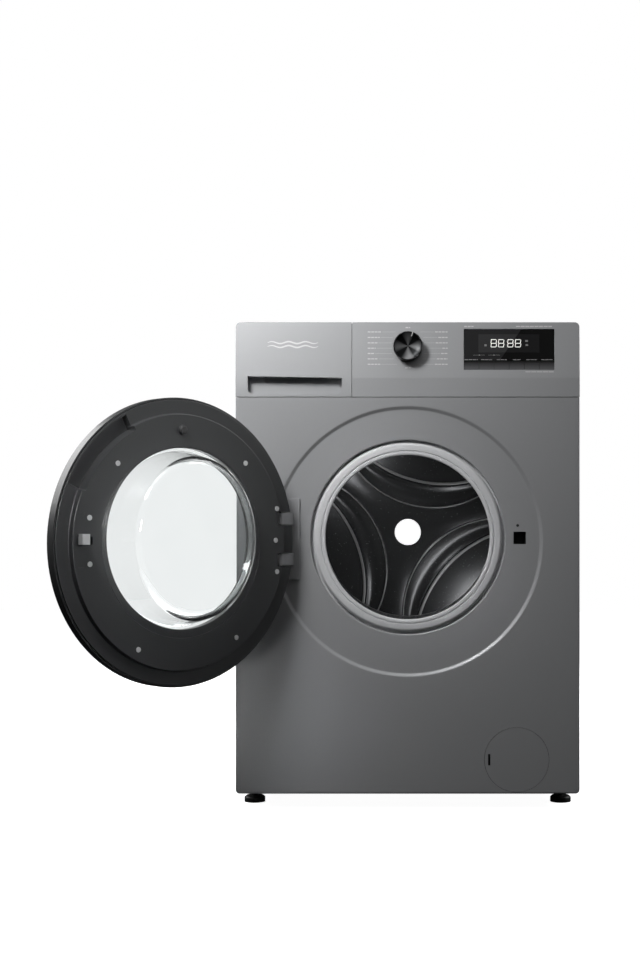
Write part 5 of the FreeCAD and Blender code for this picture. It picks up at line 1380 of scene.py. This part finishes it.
@dataclass
class Drum:
    """The drum: punched shell, pressed back with its three-armed star, and the cap, which glows with painted
    light.
    """

    axis_z: float = 480.0
    rim: float = 238.2
    star_y: float = 141.0
    lens_angles: tuple[float, ...] = (-42.0, 78.0, 198.0)
    inner_arc: tuple[float, float] = (190.0, 243.0)
    outer_arc: tuple[float, float] = (240.0, 341.0)
    sheet: float = 1.4
    columns: int = 121

    def levels(self) -> np.ndarray:
        """Return the steps across the hollow: 0 on the inner arc, 1 on the outer, about 3.8 at the rim."""
        beads = [np.linspace(0.0, 0.12, 13), np.linspace(0.14, 0.86, 20), np.linspace(0.88, 1.16, 22)]
        last = (self.rim - 53.0) / 48.0
        return np.concatenate((*beads, np.linspace(1.2, last, 26)))

    def depth(self, level: np.ndarray) -> np.ndarray:
        """Return the pressing's Y at a level.

        A narrow bead stands on the inner arc and a wider one on the outer; between them the sheet
        sinks in a round hollow, a sine over the gap, and beyond them it domes gently to the rim.
        """
        inner_bead = 1.6 * np.exp(-(((level - 0.02) / 0.022) ** 2))
        outer_bead = 3.0 * np.exp(-(((level - 1.04) / 0.035) ** 2))
        groove = 2.2 * np.exp(-(((level - 0.94) / 0.03) ** 2))
        hollow = 7.5 * np.sin(math.pi * np.clip((level - 0.04) / 0.92, 0, 1)) ** 0.8
        step = 3.0 * smooth_step(level, 0.1, 0.9)
        dome = 2.5 * np.sin(math.pi * np.clip((level - 1.08) / 2.7, 0, 1))
        return self.star_y + step + hollow + groove - inner_bead - outer_bead - dome

    def arc(self, level: np.ndarray) -> tuple[np.ndarray, np.ndarray]:
        """Lay out the arcs of a lens sector in its own axes.

        The circle of a level has a radius and centre distance mixed from the inner and outer arcs.
        It runs between its two meetings with the rim, found by the cosine rule.

        Args:
            level: The levels of the arcs.

        Returns:
            Distance along the sector's own direction, and across it, levels by columns.
        """
        radius = self.inner_arc[0] + (self.outer_arc[0] - self.inner_arc[0]) * level
        offset = self.inner_arc[1] + (self.outer_arc[1] - self.inner_arc[1]) * level
        cosine = (self.rim**2 + offset**2 - radius**2) / (2 * self.rim * offset)
        meet = np.arccos(np.clip(cosine, -1, 1))
        end = np.arctan2(self.rim * np.sin(meet), offset - self.rim * np.cos(meet))
        sweep = np.linspace(-1, 1, self.columns)[None, :] * end[:, None]
        along = offset[:, None] - radius[:, None] * np.cos(sweep)
        across = radius[:, None] * np.sin(sweep)
        return along, across

    def sector(self, angle: float) -> np.ndarray:
        """Work out one third of the drum's back, from arm to arm.

        The plateau's rows mix the two arm centrelines, a V through the axis, with the inner arc.

        Args:
            angle: Direction of the lens sector in degrees.

        Returns:
            The grid of points.
        """
        level = self.levels()
        along, across = self.arc(level)
        share = np.linspace(-1, 1, self.columns)
        vee_r = self.rim * np.abs(share)
        vee_along = vee_r * math.cos(math.pi / 3)
        vee_across = vee_r * math.sin(math.pi / 3) * np.sign(share)
        mix = np.linspace(0, 1, 18)[:-1, None]
        flat_along = vee_along + (along[0] - vee_along) * mix
        flat_across = vee_across + (across[0] - vee_across) * mix
        end = np.hypot(flat_along[:, -1:], flat_across[:, -1:])
        push = 1 + (self.rim / end - 1) * np.abs(share) ** 6
        crown = -2.2 * (1 - mix**2) * np.clip(vee_r / 90, 0, 1)[None, :]
        flat_y = self.star_y + np.broadcast_to(crown, flat_along.shape)
        deep_y = np.broadcast_to(self.depth(level)[:, None], along.shape)
        all_along = np.concatenate((flat_along * push, along))
        all_across = np.concatenate((flat_across * push, across))
        all_y = np.concatenate((flat_y, deep_y))
        c, s = math.cos(math.radians(angle)), math.sin(math.radians(angle))
        x = all_along * c - all_across * s
        z = self.axis_z + all_along * s + all_across * c
        return np.stack((x, all_y, z), axis=-1)

    def bead(self, angle: float, level: float, half: float) -> np.ndarray:
        """Work out a drawn bead that follows one arc of a sector.

        Round the bead the place is the arc's point plus half times the cosine along the arc's own
        outward direction, and 1.3 mm times the sine forwards.

        Args:
            angle: Direction of the lens sector in degrees.
            level: Which arc, 0 the inner and 1 the outer.
            half: Half the bead's width.

        Returns:
            The grid of points, round the bead by along the arc.
        """
        along, across = self.arc(np.array([level]))
        inside = slice(2, -2)
        along, across = along[0][inside], across[0][inside]
        offset = self.inner_arc[1] + (self.outer_arc[1] - self.inner_arc[1]) * level
        away = np.stack((offset - along, -across), axis=-1)
        away /= np.linalg.norm(away, axis=-1, keepdims=True)
        turn = np.linspace(0, TURN, 16, endpoint=False)[:, None]
        out = along + half * np.cos(turn) * away[:, 0]
        side = across + half * np.cos(turn) * away[:, 1]
        top = float(self.depth(np.array([level]))[0])
        y = np.broadcast_to(top - 0.2 - 1.3 * np.sin(turn), out.shape)
        c, s = math.cos(math.radians(angle)), math.sin(math.radians(angle))
        return np.stack((out * c - side * s, y, self.axis_z + out * s + side * c), axis=-1)

    def build(self, shop: Workshop) -> None:
        """Build the drum's pieces.

        Args:
            shop: The workshop.
        """
        grids = [self.sector(angle) for angle in self.lens_angles]
        rows, columns = grids[0].shape[:2]
        row, column = np.arange(rows - 1)[:, None], np.arange(columns - 1)[None, :]
        first = row * columns + column
        quads = np.stack((first, first + columns, first + columns + 1, first + 1), axis=-1).reshape(-1, 4)
        faces = np.concatenate([quads + i * rows * columns for i in range(len(grids))])
        piece = store("drum_back_pressing", np.array(grids), faces, 60)
        self.face_forward(piece)
        wall = piece.modifiers.new("Sheet", "SOLIDIFY")
        wall.thickness = self.sheet * MM
        wall.offset = -1
        shop.finish_piece(piece, Dress.STAR, "drum", ["drum_back"])
        # The beads wear a lighter finish than the star: painted highlight lines.
        for number, angle in enumerate(self.lens_angles, 1):
            for name, level, half in (("inner", 0.02, 1.3), ("outer", 1.04, 2.7)):
                line = surface(
                    f"drum_bead_{name}_{number}", self.bead(angle, level, half), wrap_columns=False
                )
                cap_ends(line)
                shop.finish_piece(line, Dress.BEAD, "drum")
        # The cap glows by its finish's emission, though it is no lamp: painted light.
        cap = [
            (0, 134.6),
            (8, 134.9),
            (16, 136.2),
            (22, 138.2),
            (25.6, 140.4),
            (26.6, 142.2),
            (26.6, 143.5),
            (0, 143.5),
        ]
        dome = surface("drum_cap_dome", revolve("cap", cap, (0, self.axis_z), 96), wrap_rows=False)
        shop.finish_piece(dome, Dress.CAP, "drum", ["drum_cap"])
        shop.refine("drum_shell", Dress.DRUM)
        shop.refine("drum_lifters", Dress.WHITE, bevel_mm=3.0)

    @staticmethod
    def face_forward(piece: bpy.types.Object) -> None:
        """Turn an open sheet's faces to the front when most of them look to the rear."""
        normals = np.empty(len(piece.data.polygons) * 3, np.float32)
        piece.data.polygons.foreach_get("normal", normals)
        if normals.reshape(-1, 3)[:, 1].mean() > 0:
            piece.data.flip_normals()


@dataclass
class Suspension:
    """Springs, dampers and hoses that stretch between the cabinet and the tub."""

    spans: dict[str, tuple[tuple[float, float, float], tuple[float, float, float]]] = field(
        default_factory=lambda: {
            "suspension_springs": ((0.0, 92.0, 790.0), (0.0, 92.0, 660.0)),
            "suspension_dampers": ((0.0, -46.0, 80.0), (0.0, -46.0, 235.0)),
            "fill_hose": ((-150.0, -100.0, 735.0), (-150.0, -100.0, 700.0)),
            "sump_hose": ((90.0, -100.0, 120.0), (90.0, -100.0, 215.0)),
        }
    )

    def build(self, shop: Workshop) -> None:
        """Build smooth copies between the cabinet and the tub, with their places baked in.

        Args:
            shop: The workshop.
        """
        for node, (start, end) in self.spans.items():
            piece = shop.smoothed(node)
            evaluated(piece)
            slot = shop.slots[node]
            between = ("cabinet", "tub", start, end)
            shop.finish_piece(piece, SLOT_DRESS[slot], stands_for=[node], between=between)


@dataclass
class Inside:
    """Everything else: each node keeps its own shape with its corners merged."""

    def build(self, shop: Workshop) -> None:
        """Refine every node that nothing has replaced yet.

        Args:
            shop: The workshop.
        """
        for name in sorted(shop.nodes):
            if shop.nodes[name].hide_render:
                continue
            shop.refine(name)


@dataclass
class Studio:
    """Camera, floor, lights and surroundings."""

    camera_place: tuple[float, float, float] = (0.002, -2.890, 0.488)
    lens: float = 57.4
    shift: tuple[float, float] = (-0.0925, 0.05)
    floor_half: float = 6.0

    def lamp(
        self,
        name: str,
        place: tuple[float, float, float],
        aim: tuple[float, float, float],
        size: float,
        watts: float,
        spread: float = 180.0,
    ) -> None:
        """Add a square soft light.

        Args:
            name: Name of the light.
            place: Where it stands, in metres.
            aim: What it looks at.
            size: Length of its sides.
            watts: Its power.
            spread: Full angle of its beam in degrees.
        """
        data = bpy.data.lights.new(name, "AREA")
        data.size = size
        data.energy = watts
        data.spread = math.radians(spread)
        light = bpy.data.objects.new(name, data)
        bpy.context.scene.collection.objects.link(light)
        light.location = place
        away = np.array(place) - np.array(aim)
        yaw = math.atan2(away[0], -away[1])
        pitch = math.atan2(math.hypot(away[0], away[1]), away[2])
        light.rotation_euler = (pitch, 0.0, yaw)
        light.visible_camera = False

    def surroundings(self) -> None:
        """Set a world that is white to the eye, bright above and dim low in front."""
        world = bpy.data.worlds.new("studio")
        bpy.context.scene.world = world
        world.use_nodes = True
        tree = world.node_tree
        tree.nodes.clear()
        place = add_node(tree, "ShaderNodeTexCoord").outputs["Generated"]
        split = add_node(tree, "ShaderNodeSeparateXYZ", None, {0: place}).outputs
        rise = add_node(
            tree,
            "ShaderNodeMapRange",
            {"From Min": -0.1, "From Max": 0.9, "To Min": 0.01, "To Max": 0.14},
            {"Value": split[2]},
        )
        ambient = add_node(
            tree, "ShaderNodeBackground", {"Color": (1, 1, 1, 1)}, {"Strength": rise.outputs[0]}
        )
        seen = add_node(tree, "ShaderNodeBackground", {"Color": (1, 1, 1, 1), "Strength": 1.0})
        path = add_node(tree, "ShaderNodeLightPath").outputs
        direct = add_node(
            tree, "ShaderNodeMath", {"operation": "MAXIMUM"}, {
                0: path["Is Camera Ray"], 1: path["Is Transmission Ray"]
            }
        )
        mix = add_node(
            tree, "ShaderNodeMixShader", None, {
                0: direct.outputs[0], 1: ambient.outputs[0], 2: seen.outputs[0]
            }
        )
        add_node(tree, "ShaderNodeOutputWorld", None, {"Surface": mix.outputs[0]})

    def build(self) -> None:
        """Build the studio."""
        scene = bpy.context.scene
        scene.view_settings.view_transform = "Standard"
        data = bpy.data.cameras.new("camera")
        data.lens = self.lens
        data.shift_x, data.shift_y = self.shift
        camera = bpy.data.objects.new("camera", data)
        scene.collection.objects.link(camera)
        camera.location = self.camera_place
        camera.rotation_euler = (math.pi / 2, 0, 0)
        scene.camera = camera
        half = self.floor_half / MM
        floor = slabs("studio_floor", np.array([[-half, -half, -20.0]]), np.array([[half, half, 0.0]]))
        material = bpy.data.materials.new("pale_floor")
        material.use_nodes = True
        shader = material.node_tree.nodes["Principled BSDF"]
        shader.inputs["Base Color"].default_value = to_linear("#f4f4f4")
        shader.inputs["Roughness"].default_value = 0.8
        shader.inputs["Emission Color"].default_value = to_linear("#ffffff")
        shader.inputs["Emission Strength"].default_value = 0.97
        floor.data.materials.append(material)
        floor.visible_diffuse = False
        floor.visible_glossy = False
        self.lamp("key", (-0.60, -1.10, 1.45), (-0.30, -0.24, 0.80), 0.35, 4.4, 90)
        self.lamp("top_strip", (0.20, -0.62, 1.2), (0.15, -0.24, 0.8), 0.9, 0.7)
        self.lamp("mouth", (-0.45, -1.0, 0.95), (0.0, -0.24, 0.472), 0.12, 0.055, 19)
        self.lamp("low_left", (-0.62, -1.05, 0.10), (-0.24, -0.24, 0.16), 0.16, 0.04, 30)
        self.lamp("door_fill", (0.6, -1.6, 0.7), (-0.42, -0.43, 0.47), 0.2, 0.2, 18)
        self.lamp("floor_wash", (0.0, -1.9, 2.8), (0.0, -1.7, 0.0), 2.4, 8, 60)
        self.lamp("drum_upper", (-0.13, -0.09, 0.635), (0.0, 0.15, 0.48), 0.10, 0.12)
        self.lamp("drum_lower", (0.14, -0.09, 0.34), (0.0, 0.15, 0.48), 0.10, 0.12)
        self.lamp("left_side", (-1.8, 0.5, 1.4), (-0.3, 0.0, 0.5), 1.2, 22)
        self.lamp("right_side", (1.8, 0.3, 1.4), (0.3, 0.0, 0.5), 1.2, 22)
        self.lamp("rear", (0.0, 2.2, 1.4), (0.0, 0.24, 0.5), 1.2, 30)
        self.surroundings()


def main() -> None:
    """Build every sub-assembly round the frame."""
    logging.basicConfig(level=logging.INFO, format="%(message)s")
    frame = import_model()
    shop = Workshop(frame)
    Studio().build()
    FrontPanel().build(shop)
    Cabinet().build(shop)
    ControlStrip().build(shop)
    Door().build(shop)
    Gasket().build(shop)
    Drum().build(shop)
    Suspension().build(shop)
    Inside().build(shop)


if __name__ == "__main__":
    main()
